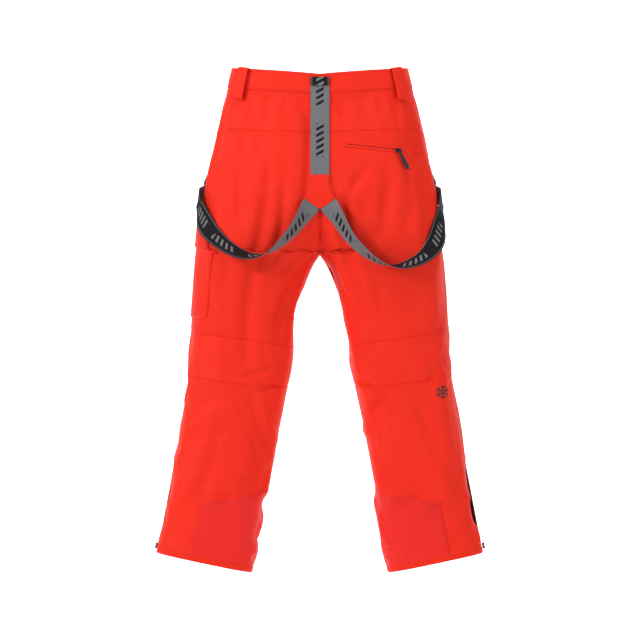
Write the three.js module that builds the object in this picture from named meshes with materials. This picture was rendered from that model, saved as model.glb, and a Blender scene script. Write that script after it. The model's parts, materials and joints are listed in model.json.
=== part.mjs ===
// Insulated ski pants with webbing braces, held open at the waist. Millimetres, +Z up.
// The origin is the centre of the waist opening at its top edge. The wearer faces +Y,
// so the seat faces -Y and the wearer's right leg is on +X.
import * as THREE from "three";

const { PI, abs, acos, asin, ceil, cos, max, min, sin, sign, tan } = Math;

// ---- driving dimensions ----
const outseam = 1048; // top of the waist to the lowest corner of the hem
const waistHalf = 182;
const hipHalf = 238;
const seatHalf = 255;
const kneeOuter = 278;
const hemOuter = 342;
const legZipTopOuter = 304;
const kneeInner = 66;
const hemInner = 141;
const hipDrop = 233; // heights are drops below the top of the waist
const crotchDrop = 383;
const kneeDrop = 640;
const hemTilt = 0.2; // radians, the hem is square to the leg
const backDepth = { waist: 92, hip: 118, crotch: 116, knee: 88, hem: 74 };
const frontDepth = { waist: 88, hip: 104, crotch: 104, knee: 92, hem: 70 };
const roundness = 3; // exponent of each level section, 2 is an ellipse

const panelColumns = 8; // facets across each panel
const rowSpacing = 62;
const crotchStep = 5;

const shellWall = 2.4;
const liningWall = 1.2;
const liningGap = 2.6;
const facingWall = 3.5; // padded, so that it reaches from the waistband to the lining
const seamGap = 0.3;
const clearance = 0.3;

const bandHeight = 43;
const bandWall = 3.6;
const bandDip = 17; // the waist dips by this much at the centre back
const bandFrontDip = 30;
const yokeDrop = 127; // yoke seam at the side, deeper at the centre back
const yokeDip = 15;
const kneeTopOuter = 545;
const kneeTopInner = 590;
const kneeLowOuter = 632;
const kneeLowInner = 655;
const hemBandHeight = 12;

const flyTop = 8; // below the front waistband
const flyLength = 150;
const flyHalf = 4.5;
const legZipLength = 200;
const legZipHalf = 4.5;
const zipTapeHalf = 11;
const zipTapeWall = 0.8;
const zipTeethHalf = 2.6;
const zipTeethHeight = 1.8;

const loopWidth = 27;
const loopHeight = 66;
const loopWall = 1.8;
const loopRoom = 6; // room for a belt behind each loop
const backLoopShare = 0.56; // share of the way from the centre to the side seam
const frontLoopShare = 0.12;

const strapWidth = 39;
const strapWall = 2;
const centreStrapLow = 229;
const braceYokeLow = 297;

const pocketInnerX = 50;
const pocketOuterX = 170;
const pocketInnerDrop = 163;
const pocketOuterDrop = 175;
const weltHalf = 5.5;

const sliderWidth = 8;
const sliderLength = 12;
const sliderHeight = 3.4;

// ---- materials ----
function cloth(colour) {
  return new THREE.MeshStandardMaterial({ color: colour, roughness: 0.85, metalness: 0 });
}

const shellCloth = cloth(0xf03528);
const guardCloth = cloth(0xe02e2c);
const liningCloth = cloth(0x8d1f1c);
const gaiterCloth = cloth(0x2b2a2d);
const webbing = cloth(0x77797b);
const darkWebbing = cloth(0x2f2a2f);
const zipCloth = cloth(0x65140f);
const zipMetal = new THREE.MeshStandardMaterial({ color: 0x2c2c2e, roughness: 0.45, metalness: 0.6 });
const plastic = new THREE.MeshStandardMaterial({ color: 0x232326, roughness: 0.5, metalness: 0 });

// ---- the garment's surface ----
function spline(keys, drop) {
  // A smooth curve through [drop, value] keys, straight past both ends.
  const last = keys.length - 1;
  if (drop <= keys[0][0]) return keys[0][1];
  const slopes = keys.map((key, i) => {
    const before = keys[max(i - 1, 0)];
    const after = keys[min(i + 1, last)];
    return (after[1] - before[1]) / (after[0] - before[0]);
  });
  if (drop >= keys[last][0]) return keys[last][1] + slopes[last] * (drop - keys[last][0]);
  const i = keys.findIndex((key) => key[0] > drop) - 1;
  const span = keys[i + 1][0] - keys[i][0];
  const t = (drop - keys[i][0]) / span;
  return (
    (2 * t ** 3 - 3 * t ** 2 + 1) * keys[i][1] +
    (t ** 3 - 2 * t ** 2 + t) * span * slopes[i] +
    (3 * t ** 2 - 2 * t ** 3) * keys[i + 1][1] +
    (t ** 3 - t ** 2) * span * slopes[i + 1]
  );
}

const hemLevel = outseam - (hemOuter - hemInner) * tan(hemTilt); // hem at its outer corner
const legZipTop = hemLevel - legZipLength;

function outerX(drop) {
  const upper = [[0, waistHalf], [hipDrop, hipHalf], [crotchDrop, seatHalf]];
  const lower = [[kneeDrop, kneeOuter], [legZipTop, legZipTopOuter], [hemLevel, hemOuter]];
  return spline([...upper, ...lower], drop);
}

function innerX(drop) {
  if (drop <= hipDrop) return -outerX(drop);
  return spline(
    [[hipDrop, -hipHalf], [crotchDrop, 0], [kneeDrop, kneeInner], [outseam, hemInner]],
    drop,
  );
}

function depthAt(depths, drop) {
  const { waist, hip, crotch, knee, hem } = depths;
  return spline([[0, waist], [hipDrop, hip], [crotchDrop, crotch], [kneeDrop, knee], [outseam, hem]], drop);
}

// A point of one leg's section. The angle is 0 at the inseam, PI at the side seam, and below PI on the back.
function legPoint(side, angle, drop, inset) {
  const centre = (outerX(drop) + innerX(drop)) / 2;
  const half = (outerX(drop) - innerX(drop)) / 2 - inset;
  const depth = depthAt(sin(angle) >= 0 ? backDepth : frontDepth, drop) - inset;
  const power = 2 / roundness;
  const x = centre - half * sign(cos(angle)) * abs(cos(angle)) ** power;
  const y = -depth * sign(sin(angle)) * abs(sin(angle)) ** power;
  return new THREE.Vector3(side * x, y, -drop);
}

// The angle where the section meets the centre plane, or 0 once the legs have parted.
function startAngle(drop) {
  const centre = (outerX(drop) + innerX(drop)) / 2;
  const half = (outerX(drop) - innerX(drop)) / 2;
  if (centre >= half) return 0;
  return acos((max(centre, 0) / half) ** (roundness / 2));
}

// The same point by its share of the way round: 0 centre back, 1 side seam, 2 centre front.
function panelPoint(side, share, drop, inset, gaps = {}) {
  const start = startAngle(drop);
  const turn = share <= 1 ? share : 2 - share;
  const angle = start + (PI - start) * turn;
  const point = legPoint(side, share <= 1 ? angle : 2 * PI - angle, drop, inset);
  const front = share > 1 ? 1 : -1;
  const sideHalf = gaps.side ? gaps.side(drop) : seamGap / 2;
  const least = turn > 0.5 ? sideHalf : seamGap / 2;
  const centreHalf = gaps.centre ? gaps.centre(drop) : seamGap / 2;
  point.y = front * max(front * point.y, least);
  point.x = side * max(side * point.x, turn < 0.5 ? centreHalf : seamGap / 2);
  return point;
}

// ---- closed solids ----
function meshOf(name, positions, faces, material) {
  let volume = 0;
  const at = (i) => positions[i];
  for (const [a, b, c] of faces) {
    volume += at(a).dot(new THREE.Vector3().crossVectors(at(b), at(c)));
  }
  const turned = volume < 0 ? faces.map(([a, b, c]) => [a, c, b]) : faces;
  const geometry = new THREE.BufferGeometry().setFromPoints(positions);
  geometry.setIndex(turned.flat());
  geometry.computeVertexNormals();
  const mesh = new THREE.Mesh(geometry, material);
  mesh.name = name;
  return mesh;
}

// A solid between two matching grids of points. A wrapped grid joins its last column to its first.
function sheetSolid(name, outer, inner, material, wrapped = false) {
  const columns = outer.length;
  const rows = outer[0].length;
  const positions = [...outer.flat(), ...inner.flat()];
  const behind = columns * rows;
  const index = (i, j) => (i % columns) * rows + j;
  const faces = [];
  const quad = (a, b, c, d) => faces.push([a, b, c], [a, c, d]);
  const spans = wrapped ? columns : columns - 1;
  for (let i = 0; i < spans; i++) {
    for (let j = 0; j < rows - 1; j++) {
      const [a, b, c, d] = [index(i, j), index(i + 1, j), index(i + 1, j + 1), index(i, j + 1)];
      quad(a, b, c, d);
      quad(a + behind, d + behind, c + behind, b + behind);
    }
    const [top, nextTop] = [index(i, 0), index(i + 1, 0)];
    const [low, nextLow] = [index(i, rows - 1), index(i + 1, rows - 1)];
    quad(top + behind, nextTop + behind, nextTop, top);
    quad(low, nextLow, nextLow + behind, low + behind);
  }
  if (!wrapped) {
    for (let j = 0; j < rows - 1; j++) {
      const [first, next] = [index(0, j), index(0, j + 1)];
      const [end, endNext] = [index(columns - 1, j), index(columns - 1, j + 1)];
      quad(first, next, next + behind, first + behind);
      quad(endNext, end, end + behind, endNext + behind);
    }
  }
  return meshOf(name, positions, faces, material);
}

function grid(columns, rows, pointAt) {
  return Array.from({ length: columns + 1 }, (_, i) =>
    Array.from({ length: rows + 1 }, (_, j) => pointAt(i / columns, j / rows, j)),
  );
}

// Rows of a panel as shares of its height. They crowd together where the legs part.
const crotchRows = Array.from({ length: 11 }, (_, k) => crotchDrop + crotchStep * (k - 5) * abs(k - 5));
function panelRows(top, low, stops = []) {
  const inside = (drop) => drop > top + crotchStep && drop < low - crotchStep;
  const drops = [...crotchRows, ...stops].filter(inside);
  const ends = [top, ...drops.sort((a, b) => a - b), low];
  const rows = [];
  for (let k = 0; k < ends.length - 1; k++) {
    const parts = max(1, ceil((ends[k + 1] - ends[k]) / rowSpacing));
    for (let part = 0; part < parts; part++) rows.push(ends[k] + ((ends[k + 1] - ends[k]) * part) / parts);
  }
  return [...rows, low].map((drop) => (drop - top) / (low - top));
}

// Seams of each face from the waistband down. All round the leg, a row keeps its share of the height
// between the two seams that it lies between.
const sideShare = 1 + 1e-6; // the side seam, reached from the front
const seamsOf = (share) =>
  share > 1 ? [bandLow, frontKneeTop, kneeLow, hemTop] : [bandLow, yokeSeam, kneeTop, kneeLow, hemTop];
function rowDrop(share, centreDrop) {
  const seams = seamsOf(share);
  const centre = share > 1 ? 2 : 0;
  const next = seams.findIndex((seam) => seam(centre) >= centreDrop - 1e-9);
  const k = next < 1 ? 1 : next;
  const [top, low] = [seams[k - 1], seams[k]];
  const part = (centreDrop - top(centre)) / (low(centre) - top(centre));
  return top(share) + (low(share) - top(share)) * part;
}

// A cloth panel of one leg, between two shares of the way round and two of the seams.
function clothPanel(name, side, shares, seams, { stops, ...gaps }) {
  const rows = panelRows(seams[0](shares[0]), seams[1](shares[0]), stops);
  const layer = (depth) =>
    grid(panelColumns, rows.length - 1, (u, _, j) => {
      const share = shares[0] + (shares[1] - shares[0]) * u;
      const top = seams[0](share) + seamGap / 2;
      const low = seams[1](share) - seamGap / 2;
      return panelPoint(side, share, top + (low - top) * rows[j], depth, gaps);
    });
  return sheetSolid(name, layer(0), layer(shellWall), shellCloth);
}

// A strip of constant thickness along stations, each with a centre, a width direction and a half width.
function ribbon(name, stations, wall, material) {
  const edge = (station, way, lift) =>
    station.centre
      .clone()
      .addScaledVector(station.across, way * station.half)
      .addScaledVector(station.facing, lift);
  const layer = (lift) => stations.map((station) => [-1, 1].map((way) => edge(station, way, lift)));
  return sheetSolid(name, layer(wall / 2), layer(-wall / 2), material);
}

// ---- seam heights, by the share of the way round ----
const nearCentre = (share) => 1 - min(share, 2 - share);
const waistTop = (share) => (share > 1 ? bandFrontDip : bandDip) * nearCentre(share) ** 2;
const bandLow = (share) => waistTop(share) + bandHeight;
const yokeSeam = (share) => yokeDrop + yokeDip * nearCentre(share);
const between = (outer, inner) => (share) => outer + (inner - outer) * nearCentre(share);
const kneeTop = between(kneeTopOuter, kneeTopInner);
const kneeLow = between(kneeLowOuter, kneeLowInner);
const frontKneeRaise = 40;
const frontKneeTop = between(kneeTopOuter, kneeTopInner - frontKneeRaise);

function hemAt(x) {
  return hemLevel + (hemOuter - x) * tan(hemTilt);
}
const sectionShareX = (share) => abs(panelPoint(1, share, hemLevel, 0).x);
const hemLine = (share) => hemAt(sectionShareX(share));
const hemTop = (share) => hemLine(share) - hemBandHeight;
const legZipGap = (drop) => {
  const opened = min(max((drop - legZipTop) / legZipHalf + 1, 0), 1);
  return seamGap / 2 + (legZipHalf - seamGap / 2) * opened;
};
const flyHigh = bandFrontDip + bandHeight + flyTop;
const flyLow = flyHigh + flyLength;
const flyGap = (drop) => (drop < flyLow + flyHalf ? flyHalf : seamGap / 2);

const sides = [["left", -1], ["right", 1]];
const root = new THREE.Group();

// ---- outer shell ----
function outerShell() {
  const shell = new THREE.Group();
  for (const [word, side] of sides) {
    const panel = (name, shares, seams, gaps = {}) =>
      shell.add(clothPanel(`${name}_${word}`, side, shares, seams, gaps));
    const shinPart = (legZipTop - kneeLow(1)) / (hemTop(1) - kneeLow(1));
    const zipRow = kneeLow(0) + (hemTop(0) - kneeLow(0)) * shinPart;
    const zipped = { side: legZipGap, stops: [zipRow, zipRow + 2 * legZipHalf] };
    const opened = { centre: flyGap, stops: [flyLow, flyLow + 2 * flyHalf] };
    panel("back_yoke", [0, 1], [bandLow, yokeSeam]);
    panel("back_thigh", [0, 1], [yokeSeam, kneeTop]);
    panel("back_knee", [0, 1], [kneeTop, kneeLow]);
    panel("back_shin", [0, 1], [kneeLow, hemTop], zipped);
    panel("front_thigh", [2, sideShare], [bandLow, frontKneeTop], opened);
    panel("front_knee", [2, sideShare], [frontKneeTop, kneeLow]);
    panel("front_shin", [2, sideShare], [kneeLow, hemTop], zipped);
    shell.add(hemBand(word, side));
    shell.add(scuffGuard(word, side));
  }
  return shell;
}

// The folded hem runs round the leg from one edge of the leg zip to the other.
function hemBand(word, side) {
  const zipAngle = asin((legZipHalf / backDepth.hem) ** (roundness / 2));
  const columns = 20;
  const layer = (inset) =>
    grid(columns, 1, (u, v) => {
      const angle = PI + zipAngle + (2 * PI - 2 * zipAngle) * u;
      const x = abs(legPoint(1, angle, hemLevel, 0).x);
      const drop = hemAt(x) - hemBandHeight * (1 - v) + (seamGap / 2) * (1 - v);
      return legPoint(side, angle, drop, inset);
    });
  return sheetSolid(`hem_band_${word}`, layer(-0.4), layer(shellWall), shellCloth);
}

// A tough patch over the inside of the lower leg, front and back.
const guardDrop = 872;
const guardLean = 34; // its top edge falls by this much from the inseam to its outer edge
const guardWall = 0.8;
function scuffGuard(word, side) {
  const layer = (inset) =>
    grid(panelColumns, 4, (u, v) => {
      const angle = (PI / 2) * (1 - 2 * u);
      const x = abs(legPoint(1, angle, hemLevel, 0).x);
      const top = guardDrop + guardLean * abs(1 - 2 * u);
      const low = hemAt(x) - hemBandHeight - seamGap;
      return legPoint(side, angle, top + (low - top) * v, inset);
    });
  return sheetSolid(`scuff_guard_${word}`, layer(-guardWall - clearance), layer(-clearance), guardCloth);
}

// ---- waistband ----
function bandPart(name, side, shares, columns) {
  const proud = bandWall - shellWall;
  const layer = (depth) =>
    grid(columns, 2, (u, v) => {
      const share = shares[0] + (shares[1] - shares[0]) * u;
      const way = share < 0 ? -side : side;
      const top = waistTop(abs(share));
      const drop = top + (bandLow(abs(share)) - seamGap / 2 - top) * v;
      const point = panelPoint(way, abs(share), drop, depth);
      if (abs(share) < 1e-6) point.x = 0;
      return point;
    });
  return sheetSolid(name, layer(-proud), layer(shellWall), shellCloth);
}

function waistband() {
  const band = new THREE.Group();
  band.add(bandPart("waistband_back", 1, [-1, 1], 20));
  for (const [word, side] of sides) {
    band.add(bandPart(`waistband_front_${word}`, side, [sideShare, 2], 10));
  }
  return band;
}

// A soft facing inside the waistband, open at the centre front.
function waistFacing() {
  const columns = 40;
  const faceTop = 2;
  const layer = (inset) =>
    grid(columns, 1, (u, v) => {
      const turn = 2 * (2 * u - 1);
      const share = abs(turn);
      const drop = waistTop(share) + faceTop + (bandHeight - faceTop) * v;
      const point = panelPoint(turn < 0 ? -1 : 1, share, drop, inset);
      if (share < 1e-6) point.x = 0;
      if (abs(share - 1) < 1e-6) point.y = 0;
      return point;
    });
  const inset = shellWall + clearance;
  return sheetSolid("waistband_facing", layer(inset), layer(inset + facingWall), liningCloth);
}

// ---- linings and snow gaiters ----
const liningEnd = 812;
const liningInset = shellWall + liningGap;
function lining(word, side) {
  const start = bandLow(0);
  const rows = panelRows(start, liningEnd).map((row) => start + (liningEnd - start) * row);
  const firstRow = 0.001;
  const topRow = (share) => bandLow(share) + 2 * clearance;
  const dropAt = (share, drop, j) => (j === 0 ? topRow(share) : rowDrop(share, drop + firstRow));
  const layer = (depth) =>
    grid(2 * panelColumns, rows.length - 1, (u, _, j) =>
      panelPoint(side, 2 * u, dropAt(2 * u, rows[j], j), depth),
    );
  return sheetSolid(`lining_${word}`, layer(liningInset), layer(liningInset + liningWall), liningCloth);
}

const gaiterTop = liningEnd - 52;
const gaiterLow = 1000;
const gaiterInset = [liningInset + liningWall + 0.6, 16];
function gaiter(word, side) {
  const columns = 2 * panelColumns;
  const layer = (wall) =>
    grid(columns, 5, (u, v) => {
      const inset = gaiterInset[0] + (gaiterInset[1] - gaiterInset[0]) * v ** 2 + wall;
      return legPoint(side, 2 * PI * u, gaiterTop + (gaiterLow - gaiterTop) * v, inset);
    }).slice(0, columns);
  return sheetSolid(`snow_gaiter_${word}`, layer(0), layer(gaiterWall), gaiterCloth, true);
}
const gaiterWall = 1;

// ---- belt loops ----
// A frame on the garment: along the level section, straight out of the cloth, and up the cloth.
function surfaceFrame(side, share, drop, reach) {
  const turn = 0.01;
  const along = panelPoint(side, share + turn, drop, 0).sub(panelPoint(side, share - turn, drop, 0));
  const up = panelPoint(side, share, drop - reach, 0).sub(panelPoint(side, share, drop + reach, 0));
  const outward = new THREE.Vector3().crossVectors(along, up).normalize();
  const here = panelPoint(side, share, drop, 0);
  if (outward.dot(here) < 0) outward.negate();
  up.normalize();
  return { here, outward, up, across: new THREE.Vector3().crossVectors(outward, up) };
}

function placed(name, geometry, material, axes, origin) {
  const mesh = new THREE.Mesh(geometry, material);
  mesh.name = name;
  mesh.applyMatrix4(new THREE.Matrix4().makeBasis(...axes));
  mesh.position.copy(origin);
  return mesh;
}

function outline(points) {
  return new THREE.Shape(points.map(([x, y]) => new THREE.Vector2(x, y)));
}

function extruded(shape, depth) {
  return new THREE.ExtrudeGeometry(shape, { depth, bevelEnabled: false, curveSegments: 4 });
}

const clothBow = 0.6; // how far the waistband bows past the flat back of a loop
const loopSeat = bandWall - shellWall + clothBow;
function beltLoop(name, side, share) {
  const middle = waistTop(share) + loopHeight / 2 - 1;
  const { here, outward, up, across } = surfaceFrame(side, share, middle, loopHeight / 2);
  const out = loopRoom + loopWall;
  const half = loopHeight / 2;
  const shape = outline([
    [0, -half],
    [out, -half],
    [out, half],
    [0, half],
    [0, half - loopWall],
    [loopRoom, half - loopWall],
    [loopRoom, loopWall - half],
    [0, loopWall - half],
  ]);
  const origin = here.clone().addScaledVector(outward, loopSeat).addScaledVector(across, -loopWidth / 2);
  return placed(name, extruded(shape, loopWidth), shellCloth, [outward, up, across], origin);
}

// ---- zips ----
function axesAlong(start, end, outward) {
  const along = end.clone().sub(start).normalize();
  const across = new THREE.Vector3().crossVectors(outward, along).normalize();
  const facing = new THREE.Vector3().crossVectors(along, across);
  return { along, across, facing, length: start.distanceTo(end) };
}

// A tape with a raised row of teeth, run straight from one end to the other.
function zipStrip(name, start, end, outward, tapeHalf) {
  const { along, across, facing, length } = axesAlong(start, end, outward);
  const shape = outline([
    [-tapeHalf, -zipTapeWall],
    [tapeHalf, -zipTapeWall],
    [tapeHalf, 0],
    [zipTeethHalf, 0],
    [zipTeethHalf, zipTeethHeight],
    [-zipTeethHalf, zipTeethHeight],
    [-zipTeethHalf, 0],
    [-tapeHalf, 0],
  ]);
  return placed(name, extruded(shape, length), zipCloth, [across, facing, along], start);
}

// A slider body that stands on the teeth, with its nose towards the closed end of the zip.
function zipSlider(name, foot, start, end, outward) {
  const { along, across, facing } = axesAlong(start, end, outward);
  const [wide, long] = [sliderWidth / 2, sliderLength / 2];
  const shape = outline([
    [-wide, -long],
    [wide, -long],
    [wide, long / 2],
    [wide / 2, long],
    [-wide / 2, long],
    [-wide, long / 2],
  ]);
  return placed(name, extruded(shape, sliderHeight), zipMetal, [across.negate(), along, facing], foot);
}

// A puller that hangs from a slider: narrow at its top and widest near its rounded lower end.
function zipPull(name, top, hang, outward, size, material) {
  const { neck, belly, length, wall } = size;
  const { along, across, facing } = axesAlong(top, top.clone().add(hang), outward);
  const bellyAt = 0.7 * length;
  const shape = new THREE.Shape();
  shape.moveTo(-neck / 2, 0);
  shape.lineTo(neck / 2, 0);
  shape.lineTo(belly / 2, bellyAt);
  shape.quadraticCurveTo(belly / 2, length, 0, length);
  shape.quadraticCurveTo(-belly / 2, length, -belly / 2, bellyAt);
  return placed(name, extruded(shape, wall), material, [across.negate(), along, facing], top);
}

// Height of the cloth's surface at a given width across the garment.
function surfaceY(x, drop, front, lift) {
  const centre = (outerX(drop) + innerX(drop)) / 2;
  const half = (outerX(drop) - innerX(drop)) / 2 + lift;
  const depth = depthAt(front < 0 ? backDepth : frontDepth, drop) + lift;
  const across = min(abs((abs(x) - centre) / half), 1);
  return front * depth * (1 - across ** roundness) ** (1 / roundness);
}
const onSurface = (x, drop, front, lift = 0) => new THREE.Vector3(x, surfaceY(x, drop, front, lift), -drop);

// The straight line of a pocket's zip, lifted clear of the bowed cloth that it crosses.
function pocketLine(from, to, front) {
  const start = onSurface(...from, front);
  const end = onSurface(...to, front);
  const middle = start.clone().lerp(end, 0.5);
  const level = onSurface(middle.x + 1, -middle.z, front).sub(onSurface(middle.x - 1, -middle.z, front));
  const outward = new THREE.Vector3().crossVectors(level, end.clone().sub(start)).normalize();
  if (outward.y * front < 0) outward.negate();
  const { facing } = axesAlong(start, end, outward);
  const samples = Array.from({ length: 9 }, (_, k) => k / 8);
  const bow = samples.map((t) => {
    const chord = start.clone().lerp(end, t);
    return onSurface(chord.x, -chord.z, front).sub(chord).dot(facing);
  });
  const lift = max(...bow) + weltHeight;
  start.addScaledVector(facing, lift);
  end.addScaledVector(facing, lift);
  return { start, end, outward, front, ...axesAlong(start, end, outward) };
}

// Welded lips round a pocket's zip. The outer face is straight and the inner face follows the cloth.
function welt(name, line, profile) {
  const columns = 6;
  const outer = [];
  const inner = [];
  for (let k = 0; k <= columns; k++) {
    const centre = line.start.clone().lerp(line.end, k / columns);
    const place = ([across, height]) =>
      centre.clone().addScaledVector(line.across, across).addScaledVector(line.facing, height);
    const row = profile.map(place);
    outer.push(row);
    const foot = profile.map(([across]) => place([across, 0]));
    inner.push(foot.map((point) => onSurface(point.x, -point.z, line.front, weltBedding)));
  }
  return sheetSolid(name, outer, inner, shellCloth);
}
const weltHeight = 2.7;
const weltBedding = 0.45;
const grooveHalf = 3.2;
const grooveDepth = 1.5;
const bevel = 0.1;
const lips = (middle) => [
  [-weltHalf, 0],
  [-grooveHalf, 0],
  [bevel - grooveHalf, -grooveDepth],
  ...middle,
  [grooveHalf - bevel, -grooveDepth],
  [grooveHalf, 0],
  [weltHalf, 0],
];
const teethInGroove = [
  [-zipTeethHalf, -grooveDepth],
  [bevel - zipTeethHalf, -clearance],
  [zipTeethHalf - bevel, -clearance],
  [zipTeethHalf, -grooveDepth],
];

function sliderOn(name, line, travelled) {
  const foot = line.start.clone().lerp(line.end, travelled / line.length);
  return zipSlider(name, foot.addScaledVector(line.facing, clearance), line.start, line.end, line.outward);
}

// ---- back pocket, on the wearer's right ----
const cordPull = { neck: 4, belly: 9, length: 44, wall: 2.4 };
const garageSize = { half: 13, high: 6, wall: 1.4 };
function backPocket() {
  const pocket = new THREE.Group();
  const line = pocketLine([pocketInnerX, pocketInnerDrop], [pocketOuterX, pocketOuterDrop], -1);
  const teethEnd = 3;
  pocket.add(welt("back_pocket_welt", line, lips([])));
  const teethLength = line.length - 2 * teethEnd;
  const teeth = new THREE.BoxGeometry(2 * zipTeethHalf, grooveDepth - 2 * clearance, teethLength);
  const middle = line.start.clone().lerp(line.end, 0.5).addScaledVector(line.facing, -grooveDepth / 2);
  pocket.add(placed("back_pocket_teeth", teeth, zipCloth, [line.across, line.facing, line.along], middle));
  const closed = line.length - sliderLength / 2 - teethEnd;
  const slider = sliderOn("back_pocket_slider", line, closed);
  pocket.add(slider);
  const lean = 0.45;
  const hang = new THREE.Vector3(sin(lean), 0, -cos(lean));
  const top = slider.position.clone().addScaledVector(line.facing, sliderHeight + 2 * clearance);
  pocket.add(zipPull("back_pocket_pull", top, hang, line.outward, cordPull, plastic));
  const garage = surfaceFrame(1, garageShare, pocketOuterDrop, garageSize.high);
  const pad = new THREE.Shape();
  pad.absellipse(0, 0, garageSize.half, garageSize.high, 0, 2 * PI);
  const seat = garage.here.clone().addScaledVector(garage.outward, garageBow);
  const padAxes = [garage.across, garage.up, garage.outward];
  if (garage.across.clone().cross(garage.up).dot(garage.outward) < 0) padAxes[0].negate();
  pocket.add(placed("back_pocket_garage", extruded(pad, garageSize.wall), shellCloth, padAxes, seat));
  pocket.add(pocketBag());
  return pocket;
}
const garageShare = 0.62;
const garageBow = 0.7;

// The pocket's bag hangs between the shell and the lining.
function pocketBag() {
  const rows = crotchRows.slice(0, 2);
  const drops = [rowBelowPocket, ...rows];
  const layer = (depth) =>
    grid(4, drops.length - 1, (u, _, j) => {
      const share = (1 + 4 * u) / panelColumns;
      return panelPoint(1, share, rowDrop(share, drops[j]), depth);
    });
  return sheetSolid("back_pocket_bag", layer(bagInset), layer(bagInset + bagWall), liningCloth);
}
const rowBelowPocket = 200;
const bagInset = shellWall + 0.7;
const bagWall = 1;

// ---- hand pockets, on the front of each hip ----
const handPocketLow = [172, 245];
const handPocketHigh = [146, 105];
function handPocket(word, side) {
  const at = ([x, drop]) => [side * x, drop];
  const line = pocketLine(at(handPocketLow), at(handPocketHigh), 1);
  const group = new THREE.Group();
  group.add(welt(`hand_pocket_zip_${word}`, line, lips(teethInGroove)));
  group.add(sliderOn(`hand_pocket_slider_${word}`, line, line.length - sliderLength / 2 - 2));
  return group;
}

// ---- fly ----
const flyTapeInset = shellWall + clearance + 0.1;
function fly() {
  const group = new THREE.Group();
  const outward = new THREE.Vector3(0, 1, 0);
  const low = onSurface(0, flyLow - clearance, 1, -flyTapeInset);
  const high = onSurface(0, flyHigh - flyTop + clearance, 1, -flyTapeInset);
  group.add(zipStrip("fly_zip", low, high, outward, zipTapeHalf));
  const line = { start: low, end: high, outward, ...axesAlong(low, high, outward) };
  const foot = low.clone().addScaledVector(line.along, line.length - flyTop);
  foot.addScaledVector(line.facing, zipTeethHeight + clearance);
  group.add(zipSlider("fly_slider", foot, low, high, outward));
  return group;
}

// ---- leg zips, at the foot of each side seam ----
const legTapeInset = shellWall + 1.5; // behind the panel edges, which bow away from the seam
const tabPull = { neck: 4, belly: 7, length: 24, wall: 1.6 };
function legZip(word, side) {
  const group = new THREE.Group();
  const outward = new THREE.Vector3(side, 0, 0);
  const at = (drop) => new THREE.Vector3(side * (outerX(drop) - legTapeInset), 0, -drop);
  const low = at(hemLevel - clearance);
  const high = at(legZipTop + legZipHalf);
  group.add(zipStrip(`leg_zip_${word}`, high, low, outward, zipTapeHalf));
  const line = axesAlong(high, low, outward);
  const foot = low.clone().addScaledVector(line.along, -sliderLength);
  foot.addScaledVector(line.facing, zipTeethHeight + clearance);
  const slider = zipSlider(`leg_zip_slider_${word}`, foot, high, low, outward);
  group.add(slider);
  const top = foot.clone().addScaledVector(line.facing, sliderHeight + clearance);
  top.addScaledVector(line.along, -sliderLength);
  group.add(zipPull(`leg_zip_pull_${word}`, top, line.along, outward, tabPull, plastic));
  return group;
}

// ---- waist tab and its snap ----
const tabHinge = -34;
const tabReach = 62;
const tabHeight = 34;
const tabWall = 2;
const capRadius = 8;
function waistTab() {
  const group = new THREE.Group();
  const drop = bandFrontDip + bandHeight / 2;
  const face = depthAt(frontDepth, drop) + bandWall - shellWall;
  const snapX = tabHinge + tabReach - capRadius - 5;
  const studHeight = 1.4;
  const gap = clearance + studHeight + clearance;
  const shape = outline([
    [tabHinge, -tabHeight / 2],
    [tabHinge + tabReach - 6, -tabHeight / 2],
    [tabHinge + tabReach, 6 - tabHeight / 2],
    [tabHinge + tabReach, tabHeight / 2 - 6],
    [tabHinge + tabReach - 6, tabHeight / 2],
    [tabHinge, tabHeight / 2],
  ]);
  const axes = [new THREE.Vector3(-1, 0, 0), new THREE.Vector3(0, 0, 1), new THREE.Vector3(0, 1, 0)];
  const seat = new THREE.Vector3(0, face + gap, -drop);
  group.add(placed("waist_tab", extruded(shape, tabWall), shellCloth, axes, seat));
  const button = (name, radius, height, y) => {
    const mesh = new THREE.Mesh(new THREE.CylinderGeometry(radius, radius, height, 20), zipMetal);
    mesh.name = name;
    mesh.position.set(-snapX, y + height / 2, -drop);
    return mesh;
  };
  group.add(button("snap_cap", capRadius, 2.4, face + gap + tabWall + clearance));
  group.add(button("snap_stud", 5, studHeight, face + clearance));
  return group;
}

// ---- braces ----
// The frames of a strap along stations [x, drop, lift, roll, face]: its centre on the garment's surface on
// that face, lifted off it, and how far its width is turned from lying flat on the cloth, in degrees.
function strapFrames(side, stations) {
  const place = ([x, drop, lift, , front = -1], step = 0) => {
    const point = onSurface(x - step, drop, front, lift);
    point.x *= side;
    return point;
  };
  const centres = stations.map((station) => place(station));
  return stations.map((station, k) => {
    const centre = centres[k];
    const before = centres[max(k - 1, 0)];
    const after = centres[min(k + 1, centres.length - 1)];
    const along = after.clone().sub(before).normalize();
    const section = place(station, 0.5).sub(centre);
    const outward = new THREE.Vector3(-section.y, section.x, 0).normalize();
    if (outward.dot(centre) < 0) outward.negate();
    const flat = new THREE.Vector3().crossVectors(outward, along).normalize().multiplyScalar(side);
    const facing = new THREE.Vector3().crossVectors(along, flat).normalize();
    const turn = new THREE.Quaternion().setFromAxisAngle(along, (side * station[3] * PI) / 180);
    for (const direction of [flat, facing]) direction.applyQuaternion(turn);
    return { centre, along, across: flat, facing, half: strapWidth / 2 };
  });
}

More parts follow.
